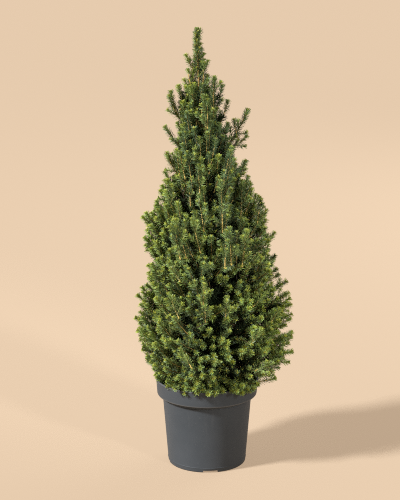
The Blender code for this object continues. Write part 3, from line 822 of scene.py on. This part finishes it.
class Shoots:
    """Curves that carry stems and needles, gathered as arrays."""

    FIELDS = ("root", "tip", "tone", "bare", "crowding", "needle", "fine", "old")

    def __init__(self):
        self.control = []
        self.fields = {name: [] for name in self.FIELDS}

    def add(self, control, root, tip, tone, bare=0.0, crowding=1.0, needle=1.0, fine=False, old=False):
        """root and tip are the stem's radii, bare the share at the foot without needles, crowding scales
        their number and needle their size. A fine shoot's stem has fewer rings, an old one's is brown."""
        self.control.append(control)
        values = (root, tip, tone, bare, crowding, needle, fine, old)
        for name, value in zip(self.FIELDS, values):
            self.fields[name].append(np.broadcast_to(value, len(control)))

    def close(self):
        self.control = np.concatenate(self.control)
        for name in self.FIELDS:
            setattr(self, name, np.concatenate(self.fields[name]))
        self.length = np.linalg.norm(np.diff(self.control, axis=1), axis=2).sum(1)


def bough_curve(name):
    """The control points of a mass's bough, from the trunk to near the mass's far end."""
    points = node_vertices(name)
    centre = points.mean(0)
    reach = np.linalg.norm((points - trunk_centre(points[:, 2]))[:, :2], axis=1)
    tip = points[np.argmax(reach + 0.9 * (points[:, 2] - centre[2]))]
    out = unit(flattened(centre - trunk_centre(centre[2])))
    limb = name.replace("foliage", "bough")
    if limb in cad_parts:
        ends = node_vertices(limb)
        along = ends @ out
        start = ends[along < np.quantile(along, 0.15)].mean(0)
        foot = ends[along > np.quantile(along, 0.85)].mean(0)
        leaving = unit(foot - start)
    else:
        start = trunk_centre(max(points[:, 2].min() + 0.10 * np.ptp(points[:, 2]), SOIL_TOP + 0.02))
        leaving = unit(out + 0.35 * UP)
    end = centre + 0.30 * (tip - centre)
    return bent(start, end, leaving, unit(unit(tip - start) + 0.35 * UP))


def spray_places(spacing, height_scale=None):
    """Points on the crown's outside, the mass each is on, the trunk beside it and the way out from there.

    The leader and the masses that are single sprays are left to their own rules.
    """
    tips, mass = outside_points(spacing, height_scale)
    usual = np.array([MASS_NAMES[m] not in LONE_MASSES for m in mass])
    return tips[usual], mass[usual], *from_trunk(tips[usual])


def in_opening(points):
    """Whether each point lies in a hollow in the front of the crown, or in a gap right through it."""
    inside = np.zeros(len(points), bool)
    seen_height = points[:, 2] + SIGHT_SLOPE * points[:, 1]
    for openings, height, within in ((HOLLOWS, points[:, 2], points[:, 1] < 0), (GAPS, seen_height, True)):
        for x, z, half_width, half_height in openings:
            away = ((points[:, 0] / MM - x) / half_width) ** 2 + ((height / MM - z) / half_height) ** 2
            inside |= (away < 1) & within
    return inside


def opening_free(base, tips):
    """Whether each shoot stays out of the openings, at its tip and at two places along it."""
    return ~(in_opening(tips) | in_opening(0.3 * base + 0.7 * tips) | in_opening(0.6 * base + 0.4 * tips))


def ridge_height(points):
    """Noise that runs in upright ridges and valleys round the crown."""
    return patchiness(points * RIDGE_SQUASH, RIDGE_SCALE)


def brush_lines():
    """The tip, the heading and the length of each brush, whose tips lie on the front of the crown."""
    tree, _ = crown_tree()
    x, z, tilt, length = np.array(BRUSHES, float).T
    tilt, length = np.radians(tilt), length * MM
    across_view = np.stack([np.sin(tilt), np.zeros(len(tilt)), np.cos(tilt)], axis=1)
    tips = np.stack([x * MM, np.zeros(len(x)), z * MM], axis=1)
    feet = tips - across_view * length[:, None]
    for place in (*tips, *feet):
        hit, *_ = tree.ray_cast(Vector((place[0], -RAY_START, place[2] - 8 * MM)), Vector((0, 1, 0)))
        place[1] = hit.y if hit else -0.03
    low = tips[:, 2] < LOW_BRUSH
    slope = np.where(low, np.clip((tips - feet)[:, 1] / length - 0.10, 0.05, 0.60), 0.10)
    tips[:, 1] -= LOW_BRUSH_LIFT * low
    return tips, unit(across_view + slope[:, None] * np.array([0.0, 1.0, 0.0])), length


def near_brush(points, brushes):
    """Whether each point would cover the stem of a brush."""
    near = np.zeros(len(points), bool)
    spots = points[:, [0, 2]]
    leader = (trunk_centre(LEADER_SHOWS[1]), UP, (LEADER_SHOWS[1] - LEADER_SHOWS[0]) / STEM_SHOWN)
    for tip, heading, length in [*zip(*brushes), leader]:
        start, along = tip[[0, 2]], -STEM_SHOWN * length * heading[[0, 2]]
        share = np.clip((spots - start) @ along / (along @ along), 0, 1)
        away = np.linalg.norm(spots - start - share[:, None] * along, axis=1)
        clearance = LOW_BRUSH_CLEARANCE if tip[2] < LOW_BRUSH else BRUSH_CLEARANCE
        near |= (away < clearance) & (points[:, 1] < 0)
    return near


def patchiness(points, scale):
    """Smooth noise at each point, from about -1 to 1."""
    return np.array([noise.noise(Vector(p) * scale) for p in points])


def grow_sprays(shoots, boughs, mass, tips, leaving, arriving, length, thick, crowding, ranks, named=False):
    """Main shoots that end at the tips, each with a twig from its bough and with side shoots.

    Shoots that aren't named ones keep clear of the openings.
    """
    base = tips - unit(leaving + arriving) * length[:, None]
    clear = opening_free(base, tips) | named
    base, tips, mass, length = base[clear], tips[clear], mass[clear], length[clear]
    leaving, arriving = leaving[clear], arriving[clear]
    main = bent(base, tips, leaving, arriving)
    tone = tone_of(tips, from_trunk(tips)[1])
    shoots.add(main, STEM_RADIUS * thick, STEM_RADIUS * 0.62, tone, bare=0.03, crowding=crowding)
    grow_connecting_twigs(shoots, boughs, mass, base, leaving, tone)
    grow_side_shoots(shoots, main, length, tone, ranks)


def grow_outer_sprays(shoots, boughs, brushes):
    """Each outer spray is a main shoot that ends on the crown's outside, with shorter shoots round it."""
    places = spray_places(SPRAY_SPACING, sparser_upwards)
    kept = ~near_brush(places[0], brushes)
    tips, mass, axis, out, ridge = (values[kept] for values in (*places, ridge_height(places[0])))
    count = len(tips)
    x, z = out[:, 0], tips[:, 2]
    low_crown = fade(z, LOW_CROWN, -0.1)
    flank = fade(np.abs(x), 0.80, 0.15)  # where named shoots make the outline
    left = np.clip(-x, 0, 1) * fade(z, LOW_CROWN, -0.08)  # denser and more upright there
    fanned = fade(x, -0.1, -1 / 3) * fade(z, 0.50, -0.1) * (out[:, 1] < FAN_FRONT)
    open_side = fade(x, 0.15, 1 / 3) * low_crown * (out[:, 1] < FRONT) * fade(x, 0.93, -0.1)
    long = DICE.uniform(size=count) < lookup(LONG_SHARE, z)
    long |= DICE.uniform(size=count) < 0.35 * fanned * (z > 0.26)
    rise = rise_angle(z) + DICE.normal(0, 0.12, count) + 0.16 * long + 0.35 * left
    swing = DICE.normal(0, 0.20, count) * np.where(long, 0.6, 1.0)
    heading = unit(turned(out, UP, rise) + np.cross(out, UP) * swing[:, None])
    heading = unit(heading + open_side[:, None] * OPEN_TURN)
    heading = unit(heading + fanned[:, None] * FAN_TURN)

    # How many mm each tip lies inside the crown's outside
    depth = DICE.choice(USUAL_DEPTHS_MM, count, p=USUAL_DEPTH_SHARES) + DICE.uniform(-2, 4, count)
    depth *= 1 - 0.5 * np.maximum(flank, left)
    depth = np.where(long, DICE.uniform(*LONG_DEPTHS_MM, count), depth)
    depth += flank * lookup(TOP_FLANK_DEPTH_MM, z)
    depth -= RIGHT_FLANK_PUSH_MM * fade(x, 0.70, 0.25) * (z < 0.64)
    depth += lookup(VALLEY_DEPTH_MM, z) * fade(ridge, -0.08, -0.12) * (1 - 0.7 * left)
    pits = fade(patchiness(tips, PIT_SCALE), -0.12, -0.10)
    depth += PIT_DEPTH_MM * pits * fade(x, 0.1, 1 / 3) * low_crown
    room = np.linalg.norm((tips - axis)[:, :2], axis=1)
    depth = np.minimum(depth * MM, 0.4 * room)
    tips = tips - unit(out + 0.4 * UP) * (depth + NEEDLE_REACH)[:, None]

    z = tips[:, 2]
    usual = np.clip(DICE.normal(*USUAL_LENGTH, count), *USUAL_LENGTHS)
    length = np.where(long, DICE.uniform(*LONG_LENGTHS, count), usual)
    length = np.minimum(length, np.maximum(0.028, 0.8 * room / np.maximum(np.cos(rise), 0.25)))
    bow = np.where(long, 0.4, 1.0)[:, None]
    leaving = unit(heading + bow * (0.25 * out - 0.15 * UP))
    arriving = unit(heading + bow * (lookup(LIFT, z)[:, None] * UP + DICE.normal(0, 0.06, (count, 3))))
    short = ~long & (z < 0.48)
    top = long & (z > SLENDER_FROM)
    for chosen, thick, crowding, ranks in (
        (short, 0.8, 1.1, (0.32,)),
        (~long & ~short, 1.0, 1.0, (0.24, 0.48)),
        (long & ~top, 1.1, 0.95, (0.18, 0.46, 0.70)),
        (top, 1.1, 1.1, (0.26,)),
    ):
        group = (values[chosen] for values in (mass, tips, leaving, arriving, length))
        grow_sprays(shoots, boughs, *group, thick, crowding, ranks)
    return tips, mass


def nearest_mass(ends, heading, tips, mass):
    """The mass of the spray nearest to each named shoot."""
    spots = ends - heading * BEHIND_TIP
    return mass[[np.linalg.norm(tips - spot, axis=1).argmin() for spot in spots]]


def grow_brushes(shoots, boughs, tips, mass, brushes):
    """The brushes, each from the bough of the nearest spray."""
    ends, heading, length = brushes
    mass = nearest_mass(ends, heading, tips, mass)
    ends = ends - heading * NEEDLE_REACH / 2
    ranks = (0.14, 0.30, 0.46, 0.62)
    arriving = unit(heading + 0.1 * UP)
    grow_sprays(shoots, boughs, mass, ends, heading, arriving, length, 1.2, 1.1, ranks, named=True)


def grow_standouts(shoots, boughs, tips, mass):
    """The named shoots, each from the bough of the nearest spray."""
    x, y, z, tilt, length = np.array(STANDOUTS, float).T
    ends = np.stack([x, y, z], axis=1) * MM
    tilt = np.radians(tilt)
    heading = np.stack([np.sin(tilt), y / LEAN_REACH, np.cos(tilt)], axis=1)
    heading[y < OVER_RIM_Y, 1:] = OVER_RIM_HEADING
    heading = unit(heading)
    mass = nearest_mass(ends, heading, tips, mass)
    leaving = unit(heading + 0.22 * unit(flattened(heading)) - 0.12 * UP)
    arriving = unit(heading + 0.15 * UP)
    top = (ends[:, 2] > SLENDER_FROM) & (ends[:, 0] < 0.07)
    for chosen, ranks in ((top, (0.30,)), (~top, (0.10, 0.24, 0.38, 0.52, 0.68))):
        group = (values[chosen] for values in (mass, ends, leaving, arriving, length * MM))
        grow_sprays(shoots, boughs, *group, 1.2, 1.2, ranks, named=True)


def grow_inner_sprays(shoots, boughs):
    """Sprays deeper in, which close the view through the crown. Some take the outer sprays' tones, most
    of them on the left, and the rest take the shaded tone, as painted shade."""
    tips, mass, axis, out = spray_places(INNER_SPACING)
    kept = tips[:, 2] < INNER_TOP
    tips, mass, axis, out = tips[kept], mass[kept], axis[kept], out[kept]
    count = len(tips)
    room = np.linalg.norm((tips - axis)[:, :2], axis=1)
    tips = tips - out * (room * DICE.uniform(*INNER_INSETS, count))[:, None] - UP * 0.010
    rise = rise_angle(tips[:, 2]) * DICE.uniform(0.5, 1.0, count)
    heading = unit(turned(out, UP, rise) + DICE.normal(0, 0.35, (count, 3)))
    length = np.minimum(DICE.uniform(*INNER_LENGTHS, count), 0.020 + 0.25 * room)
    base = tips - heading * length[:, None]
    main = bent(base, tips, heading, unit(heading + 0.2 * UP))
    # painted light and shade: which inner sprays take the outer tones and which the shaded tone, those in
    # the openings too
    lit = (tips[:, 2] > 0.58) | ((tips[:, 2] < 0.36) & (out[:, 0] < 0.40))
    share = np.where(out[:, 0] < -0.35, 0.78, np.where(lit, 0.60, 0.30))
    light = (DICE.uniform(size=count) < share) & ~in_opening(tips)
    tone = np.where(light, tone_of(tips, out), DEEP_TONE)
    crowding, needle = np.where(light, 0.80, 0.45), np.where(light, 1.10, 1.50)
    shoots.add(main, STEM_RADIUS, STEM_RADIUS * 0.7, tone, crowding=crowding, needle=needle)
    grow_connecting_twigs(shoots, boughs, mass, base, heading, tone)
    for chosen, crowding, needle in ((light, 0.80, 1.05), (~light, 0.50, 1.45)):
        grow_side_shoots(shoots, main[chosen], length[chosen], tone[chosen], (0.25, 0.60), crowding, needle)


def grow_connecting_twigs(shoots, boughs, mass, base, leaving, tone):
    """A twig from the bough to the foot of each spray, bare near the bough."""
    shares = np.linspace(0.0, 1.0, 24)
    along = np.stack([curve_points(boughs, np.full(len(boughs), s)) for s in shares], axis=1)
    gap = np.linalg.norm(along[mass] - (base - leaving * 0.010)[:, None], axis=2)
    span = np.maximum(np.linalg.norm(boughs[mass, 3] - boughs[mass, 0], axis=1), 0.03)
    join = np.clip(shares[gap.argmin(1)] - 0.6 * gap.min(1) / span, 0.02, 0.97)
    start = curve_points(boughs[mass], join)
    tangent = curve_tangents(boughs[mass], join)
    direct = unit(base - start)
    control = bent(start, base, unit(direct + 0.5 * tangent), unit(0.6 * leaving + direct))
    shoots.add(control, STEM_RADIUS * 1.6, STEM_RADIUS * 1.05, tone, bare=0.62, crowding=0.50, old=True)


def grow_side_shoots(shoots, main, length, tone, shares, crowding=1.0, needle=0.95):
    """Shorter shoots all round each main shoot, longest low down, turned up and forward at their tips."""
    for rank, share in enumerate(shares):
        long_enough = length > 0.022 + 0.009 * rank
        stem, stem_tone, stem_length = main[long_enough], tone[long_enough], length[long_enough]
        count = len(stem)
        spot = np.clip(share + DICE.normal(0, 0.035, count), 0.05, 0.9)
        start = curve_points(stem, spot)
        tangent = curve_tangents(stem, spot)
        turn = rank * GOLDEN_ANGLE + DICE.uniform(-0.4, 0.4, count) + 2.4 * np.arange(count)
        lean = np.radians(DICE.uniform(*SIDE_LEANS, count))
        leaving = turned(tangent, turned(*across(tangent), turn), lean)
        arriving = unit(leaving + 0.5 * tangent + 0.15 * UP)
        reach = stem_length * (0.50 - 0.34 * spot) * DICE.uniform(0.75, 1.25, count)
        reach = np.clip(reach, *SIDE_LENGTHS)
        end = start + unit(leaving + arriving) * reach[:, None]
        side = bent(start, end, leaving, arriving)
        kept = ~in_opening(end)
        root, tip = STEM_RADIUS * 0.62, STEM_RADIUS * 0.45
        shoots.add(side[kept], root, tip, stem_tone[kept], crowding=crowding, needle=needle, fine=True)


def grow_leader(shoots):
    """The top of the trunk is a shoot itself, with two tips and short shoots up its sides."""
    foot = trunk_centre(np.array([LEADER_FOOT]))
    top = trunk_centre(np.array([TRUNK_HEIGHTS[-1]]))
    top[:, 2] = CROWN_HIGH - NEEDLE_REACH
    line = bent(foot, top, UP[None], UP[None])
    shoots.add(line, 2.2 * MM, 0.9 * MM, FRESH_TONE, crowding=1.05, needle=0.92)
    fork = curve_points(line, np.array([LEADER_FORK]))
    twin = bent(fork, top + TWIN_OFFSET, unit(np.array([[0.7, 0.1, 1.0]])), UP[None])
    shoots.add(twin, 0.9 * MM, 0.6 * MM, FRESH_TONE)
    count = LEADER_SIDE_SHOOTS
    share = np.linspace(0.02, 0.92, count)
    start = curve_points(np.broadcast_to(line, (count, 4, 3)), share)
    spoke = azimuth_direction(GOLDEN_ANGLE * np.arange(count) + 0.6)
    in_front = (spoke[:, 1] < -0.4) & (start[:, 2] < LEADER_SHOWS[1])
    spoke[in_front, 1] *= -1
    leaving = unit(spoke + 0.9 * UP)
    reach = lookup(LEADER_REACH, share) * DICE.uniform(0.8, 1.2, count)
    end = start + unit(leaving + 0.8 * UP) * reach[:, None]
    tone = DICE.integers(1, 3, count)
    side = bent(start, end, leaving, unit(leaving + UP))
    shoots.add(side, 0.8 * MM, 0.6 * MM, tone, needle=0.95)
    grow_side_shoots(shoots, side, reach, tone, (0.4,))


# ------------------------------------------------------------------ needles and stems

# Six tones of needles, which differ in hue and paint light and shade from the crown's heart to its flanks.
# Each has the colours of old needles, darkened in part as painted shade, of this year's and of those at the
# shoot's very tip.
NEEDLE_TONES = (
    ("shaded", (0.011, 0.018, 0.007), (0.014, 0.024, 0.009), (0.017, 0.029, 0.010)),
    ("blue", (0.067, 0.108, 0.053), (0.140, 0.222, 0.102), (0.168, 0.256, 0.084)),
    ("green", (0.086, 0.128, 0.047), (0.188, 0.276, 0.090), (0.226, 0.312, 0.068)),
    ("olive", (0.105, 0.144, 0.044), (0.235, 0.311, 0.086), (0.300, 0.362, 0.058)),
    ("fresh", (0.115, 0.168, 0.050), (0.262, 0.366, 0.106), (0.345, 0.432, 0.060)),
    ("sunlit", (0.138, 0.202, 0.062), (0.312, 0.446, 0.138), (0.396, 0.510, 0.078)),
)
# Patches of painted light and shade on the front of the crown: middle x and z and reach in mm, shift in
# tones.
TONE_PATCHES = (
    (-55, 685, 40, 1.6), (108, 372, 40, 1.0), (-140, 232, 35, -1.6), (52, 425, 40, 0.9), (0, 232, 40, 0.7),
)
AGES = ("old", "young", "tip")
DEEP_TONE, FRESH_TONE = 0, 2
SILVER_AND_GLINT = (0.200, 0.260, 0.170)  # partly the banded undersides that some needles show, partly painted glint
SILVER_AND_GLINT_SHARE = 0.05
HEART = (0.300, 0.310, 0.048)  # the shortest needles, round the bud at a shoot's tip
HEART_STRETCH = 1.3 * MM
HEART_SHARE = 0.6
NEEDLE_LENGTH = 10.1 * MM
NEEDLE_WIDTH = 1.55 * MM
NEEDLES_PER_METRE = 2205
TIP_CROWDING = 1.7  # above one, needles stand closer towards a shoot's tip
SHADE_DEPTH = 20.0 * MM  # needles deeper inside the crown than this take the old colours, as painted shade
DEEP_DEPTH = 31.0 * MM  # and deeper than this they are shaded ones
TIP_STRETCH = 2.8 * MM  # the last stretch of a shoot carries tip needles
YOUNG_STRETCH = 16.0 * MM
# By the distance in metres to the shoot's tip: degrees off the shoot, and share of the full length
NEEDLE_LEAN = ((0.0, 32), (0.002, 43), (0.006, 50), (0.012, 54), (0.03, 56))
NEEDLE_TAPER = ((0.0, 0.50), (0.0013, 0.75), (0.002, 0.92), (0.010, 1.0))
CROWN_SPACING = 9.0 * MM  # between the points that stand for the crown's outside
MOST_FACES = 190000  # of one piece of needles


def tone_of(points, out):
    """A spray's tone, which paints light and shade. It is painted brighter low down on the right, round the
    waist, on the far left and at the top, and darker in between. The patches and chance shift it."""
    x, z = out[:, 0], points[:, 2]
    height = (z - CROWN_LOW) / (CROWN_HIGH - CROWN_LOW)
    low = bell(height, 0.18, 0.20) * (0.55 + 1.9 * np.clip(x, -0.2, 1.0))
    low += 0.35 * bell(height, 0.24, 0.16) * np.clip(-x, 0, 1)
    waist = bell(height, 0.50, 0.13) * (0.75 - 0.15 * x)
    score = 1.9 + 1.1 * low + 1.1 * waist - 0.9 * height + 0.6 * patchiness(points, TONE_SCALE)
    score += 0.8 * fade(height, 0.74, 0.08)
    score += 1.2 * fade(x, -0.50, -0.35)
    for middle_x, middle_z, reach, shift in TONE_PATCHES:
        away = np.hypot(points[:, 0] / MM - middle_x, z / MM - middle_z)
        score += shift * bell(away, 0, reach) * (points[:, 1] < 0.02)
    score -= 1.3 * fade(x, 0.65, 0.25) * bell(z, 0.43, 0.08)  # painted shade: the right edge is darker
    score += DICE.normal(0, 0.5, len(points)) * (1 + np.clip(x, 0, 1) * (height < 0.45))
    return np.clip(np.round(score), 1, len(NEEDLE_TONES) - 1).astype(int)


def needle_materials():
    """One material for each tone and age, in that order, then the two special ones."""
    materials = []
    for name, *colours in NEEDLE_TONES:
        roughness, gloss = (0.75, 0.1) if name == "shaded" else (0.48, 0.22)
        for age, colour in zip(AGES, colours):
            label = f"needles_{name}_{age}"
            materials.append(plain_material(label, colour, roughness, Specular_IOR_Level=gloss))
    materials.append(plain_material("needles_silver_and_glint", SILVER_AND_GLINT, 0.35, Specular_IOR_Level=0.5))
    materials.append(plain_material("needles_heart", HEART, 0.45, Specular_IOR_Level=0.25))
    return materials


def depth_inside(points):
    """How far each point is from the nearest point of the crown's outside."""
    outside, _ = outside_points(CROWN_SPACING)
    tree = KDTree(len(outside))
    for number, place in enumerate(outside):
        tree.insert(place, number)
    tree.balance()
    return np.array([tree.find(point)[2] for point in points])


def make_needles(shoots):
    """Every needle is a blade of two faces, with a slight twist. Returns their corners and materials."""
    clad = shoots.length * (1 - shoots.bare)
    number = np.maximum(5, clad * NEEDLES_PER_METRE * shoots.crowding).astype(int)
    owner = np.repeat(np.arange(len(number)), number)
    control, bare, size = shoots.control[owner], shoots.bare[owner], shoots.needle[owner]
    total = len(owner)
    rank = np.arange(total) - np.repeat(np.cumsum(number) - number, number)
    share = 1 - (1 - (rank + DICE.uniform(0.1, 0.9, total)) / number[owner]) ** TIP_CROWDING
    share = bare + (1 - bare) * share
    tangent = curve_tangents(control, share)
    spoke = turned(*across(tangent), rank * GOLDEN_ANGLE + DICE.normal(0, 0.25, total))
    to_tip = (1 - share) * shoots.length[owner]
    lean = np.radians(lookup(NEEDLE_LEAN, to_tip) + DICE.normal(0, 5, total))
    along = unit(turned(tangent, spoke, lean) + 0.06 * UP)
    length = NEEDLE_LENGTH * size * DICE.uniform(0.85, 1.10, total) * lookup(NEEDLE_TAPER, to_tip)
    flat = unit(np.cross(along, spoke))
    fold = np.cross(flat, along)
    twist = DICE.uniform(-0.9, 0.9, total)[:, None]
    half = (NEEDLE_WIDTH / 2 * size * DICE.uniform(0.9, 1.1, total))[:, None]
    foot_edge = unit(flat + fold * twist) * half
    tip_edge = unit(flat + fold * (twist + 0.45)) * half * 0.60
    foot = curve_points(control, share) + spoke * (0.4 * MM)
    tip = foot + along * length[:, None]
    points = np.stack([foot - foot_edge, foot + foot_edge, tip + tip_edge, tip - tip_edge], axis=1)

    deep = depth_inside(foot) + DICE.normal(0, 4.0 * MM, total)
    back = to_tip + DICE.normal(0, 2.0 * MM, total)
    age = (back < YOUNG_STRETCH).astype(int) + (back < TIP_STRETCH)
    # painted shade: needles deep inside the crown take the old colours
    age = np.where(deep > SHADE_DEPTH, 0, age)
    tone = shoots.tone[owner]
    stray = np.clip(tone + DICE.choice([-1, 0, 1], total, p=[0.2, 0.6, 0.2]), 1, len(NEEDLE_TONES) - 1)
    # painted shade: the deep-shade sprays and the deepest needles take the shaded tone, fewer of them on
    # the crown's left and top
    bright_side = np.maximum(fade(foot[:, 0], -0.03, -0.05), fade(foot[:, 2], 0.70, 0.08))
    dark = (tone == DEEP_TONE) | (deep > DEEP_DEPTH * (1 + 0.7 * bright_side))
    slot = len(AGES) * np.where(dark, DEEP_TONE, stray) + age
    silver = len(AGES) * len(NEEDLE_TONES)
    # painted glint, partly real banding: some needles at random take the silver colour
    slot = np.where(~dark & (DICE.uniform(size=total) < SILVER_AND_GLINT_SHARE), silver, slot)
    heart = ~dark & (to_tip < HEART_STRETCH) & (DICE.uniform(size=total) < HEART_SHARE)
    return points, np.where(heart, silver + 1, slot)


def make_needle_pieces(shoots):
    """Needles joined into pieces from the top of the crown down, each under the limit of faces."""
    points, slot = make_needles(shoots)
    order = np.argsort(-points[:, 0, 2], kind="stable")
    materials = needle_materials()
    pieces = []
    for chosen in np.array_split(order, math.ceil(2 * len(order) / MOST_FACES)):
        corners = 4 * np.arange(len(chosen))[:, None]
        faces = np.concatenate([corners + [0, 1, 2], corners + [0, 2, 3]], axis=1).reshape(-1, 3)
        name = f"needles_{len(pieces) + 1}"
        slots = np.repeat(slot[chosen], 2)
        pieces.append(build_object(name, points[chosen].reshape(-1, 3), faces, materials, slots))
        set_on_plant(pieces[-1], "needles")
    return pieces


STEM_TONES = (
    ("stem_tan", (0.600, 0.415, 0.130)),
    # the brown of old twigs, darkened in part as painted shade for the crown's inside
    ("stem_brown", (0.070, 0.046, 0.024)),
    ("stem_shaded", (0.028, 0.018, 0.011)),
    ("stem_young", (0.300, 0.235, 0.075)),
)
TAN_STEM, BROWN_STEM, SHADED_STEM, YOUNG_STEM = range(len(STEM_TONES))
STEM_SIDES = 3
BUD_LENGTH = 2.6 * MM
BUD_RADIUS = 1.4 * MM


def stem_mesh(control, root, tip, rings, bud_radius):
    """Points and faces of three-sided tapering stems. Each ends in a pointed bud."""
    count = len(control)
    length = np.linalg.norm(control[:, 3] - control[:, 0], axis=1)
    bud = (1 - BUD_LENGTH / np.maximum(length, 2 * BUD_LENGTH))[:, None]
    share = bud * np.linspace(0, 1, rings)
    taper = np.linspace(0, 1, rings)
    radius = root[:, None] * (1 - taper) + tip[:, None] * taper
    if bud_radius:
        share = np.concatenate([share, (1 + bud) / 2], axis=1)
        radius = np.concatenate([radius, np.full((count, 1), bud_radius)], axis=1)
    rings = share.shape[1]
    centres = curve_points(control[:, None], share)
    tangents = curve_tangents(control[:, None], share)
    side, upward = across(np.broadcast_to(tangents[:, rings // 2][:, None], tangents.shape))
    spoke = turned(side[:, :, None], upward[:, :, None], full_turn(STEM_SIDES))
    skin = (centres[:, :, None] + spoke * radius[:, :, None, None]).reshape(count, -1, 3)
    point = (control[:, 3] + curve_tangents(control, np.ones(count)) * 0.4 * BUD_LENGTH)[:, None]
    points = np.concatenate([skin, point], axis=1)
    index = np.arange(rings * STEM_SIDES).reshape(rings, STEM_SIDES)
    after = np.roll(index, -1, axis=1)
    first = np.stack([index[:-1], after[:-1], after[1:]], axis=-1).reshape(-1, 3)
    second = np.stack([index[:-1], after[1:], index[1:]], axis=-1).reshape(-1, 3)
    top = np.stack([index[-1], after[-1], np.full(STEM_SIDES, index.size)], axis=-1)
    one = np.vstack([first, second, top])
    faces = one[None] + (index.size + 1) * np.arange(count)[:, None, None]
    return points.reshape(-1, 3), faces.reshape(-1, 3), len(one)


def make_stems(shoots):
    """The stems: tan ones along the main shoots, young ones along the side shoots, brown twigs inside."""
    points, faces, tones, start = [], [], [], 0
    for fine, rings, bud_radius in ((False, 3, BUD_RADIUS), (True, 2, 0.0)):
        chosen = shoots.fine == fine
        control, root, tip = shoots.control[chosen], shoots.root[chosen], shoots.tip[chosen]
        some_points, some_faces, each = stem_mesh(control, root, tip, rings, bud_radius)
        points.append(some_points)
        faces.append(some_faces + start)
        usual = YOUNG_STEM if fine else TAN_STEM
        tone = np.where(shoots.old[chosen], BROWN_STEM, usual)
        tone = np.where(shoots.tone[chosen] == DEEP_TONE, SHADED_STEM, tone)
        tones.append(np.repeat(tone, each))
        start += len(some_points)
    materials = [plain_material(name, colour, 0.55, Specular_IOR_Level=0.3) for name, colour in STEM_TONES]
    points, faces, tones = np.vstack(points), np.vstack(faces), np.concatenate(tones)
    set_on_plant(build_object("twigs", points, faces, materials, tones, smooth=True), "bark")


# ------------------------------------------------------------------ the plant


def make_limbs(boughs, material):
    """The trunk and the boughs, with bark, from the CAD trunk's own line and each mass's bough."""
    low, high = TRUNK_HEIGHTS[0], TRUNK_HEIGHTS[-1]
    heights = np.append(np.arange(low, high, TRUNK_STEP), high)
    radii = trunk_radius(heights) * lookup(TRUNK_THINNING, heights)
    trunk = limb_mesh(trunk_centre(heights), radii, TRUNK_SIDES, 0.0)
    join_limbs("trunk_bark", [trunk], material, "trunk")
    limbs = []
    share = np.linspace(0, 1, LIMB_RINGS)
    for number, control in enumerate(boughs):
        if MASS_NAMES[number] in LONE_MASSES:
            continue
        centres = curve_points(np.broadcast_to(control, (len(share), 4, 3)), share)
        length = np.linalg.norm(np.diff(centres, axis=0), axis=1).sum()
        radii = lookup(LIMB_RADII, length) * (1 - LIMB_TAPER * share)
        limbs.append(limb_mesh(centres, radii, LIMB_SIDES, 7.0 * number))
    join_limbs("boughs_bark", limbs, material, *BOUGH_NAMES)


def make_plant():
    boughs = np.array([bough_curve(name) for name in MASS_NAMES])
    make_limbs(boughs, bark_material())
    shoots = Shoots()
    brushes = brush_lines()
    tips, mass = grow_outer_sprays(shoots, boughs, brushes)
    grow_brushes(shoots, boughs, tips, mass, brushes)
    grow_standouts(shoots, boughs, tips, mass)
    grow_inner_sprays(shoots, boughs)
    grow_leader(shoots)
    shoots.close()
    pieces = make_needle_pieces(shoots)
    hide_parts(*MASS_NAMES)
    make_stems(shoots)


# ------------------------------------------------------------------ stage

FLOOR_SIZE = 60.0
FLOOR_COLOUR = (0.235, 0.190, 0.143)
FLOOR_GLOW = (0.402, 0.288, 0.191)  # keeps the shadow on the floor light
CAMERA_PLACE = (-0.0158, -3.734, 1.435)
CAMERA_DROP = 14.19  # degrees below the horizon
CAMERA_LENS = 125.5
SENSOR_WIDTH = 36.0
PIXEL_FILTER = 1.1  # narrower than usual, which keeps the needles crisp
SKY_COLOUR = (1.0, 0.97, 0.95, 1.0)
SKY_STRENGTH = 0.32


def make_stage():
    material = plain_material("floor", FLOOR_COLOUR, 0.9, Specular_IOR_Level=0.1, Emission_Strength=1.0)
    material.node_tree.nodes["Principled BSDF"].inputs["Emission Color"].default_value = (*FLOOR_GLOW, 1.0)
    half = FLOOR_SIZE / 2
    corners = [(-half, -half, 0), (half, -half, 0), (half, half, 0), (-half, half, 0)]
    floor = simple_object("floor", corners, [(0, 1, 2, 3)], [material])

    world = bpy.data.worlds.new("studio")
    world.use_nodes = True
    background = world.node_tree.nodes["Background"]
    background.inputs["Color"].default_value = SKY_COLOUR
    background.inputs["Strength"].default_value = SKY_STRENGTH
    bpy.context.scene.world = world


def add_light(name, kind, energy, colour, place, aim, **settings):
    light = bpy.data.lights.new(name, kind)
    light.energy = energy
    light.color = colour
    for key, value in settings.items():
        setattr(light, key, value)
    obj = link_object(name, light)
    obj.location = place
    obj.rotation_euler = (Vector(aim) - Vector(place)).to_track_quat("-Z", "Y").to_euler()


def make_lights():
    """A low sun from the left, a soft light from behind, and a spot on the crown from the right front."""
    middle, crown = (0.0, 0.0, 0.45), (0.06, 0.0, 0.50)
    sun, back, front = (-2.78, -1.48, 2.91), (2.3, 2.5, 1.9), (1.9, -2.5, 2.0)
    beam = {"spot_size": math.radians(14), "spot_blend": 0.8, "shadow_soft_size": 0.25}
    add_light("key", "SUN", 6.7, (1.0, 0.98, 0.95), sun, middle, angle=math.radians(8))
    add_light("back", "AREA", 45.0, (1.0, 0.97, 0.92), back, middle, size=2.2)
    add_light("crown", "SPOT", 460.0, (1.0, 0.98, 0.94), front, crown, **beam)


def make_camera():
    data = bpy.data.cameras.new("camera")
    data.lens = CAMERA_LENS
    data.sensor_width = SENSOR_WIDTH
    data.clip_end = 100.0
    camera = link_object("camera", data)
    camera.location = CAMERA_PLACE
    camera.rotation_euler = (math.radians(90 - CAMERA_DROP), 0, 0)
    scene = bpy.context.scene
    scene.camera = camera
    scene.view_settings.view_transform = "Standard"
    scene.cycles.filter_width = PIXEL_FILTER
    scene.cycles.use_denoising = False  # it would smear the needles


make_camera()
make_stage()
make_lights()
make_pot()
make_soil()
make_plant()
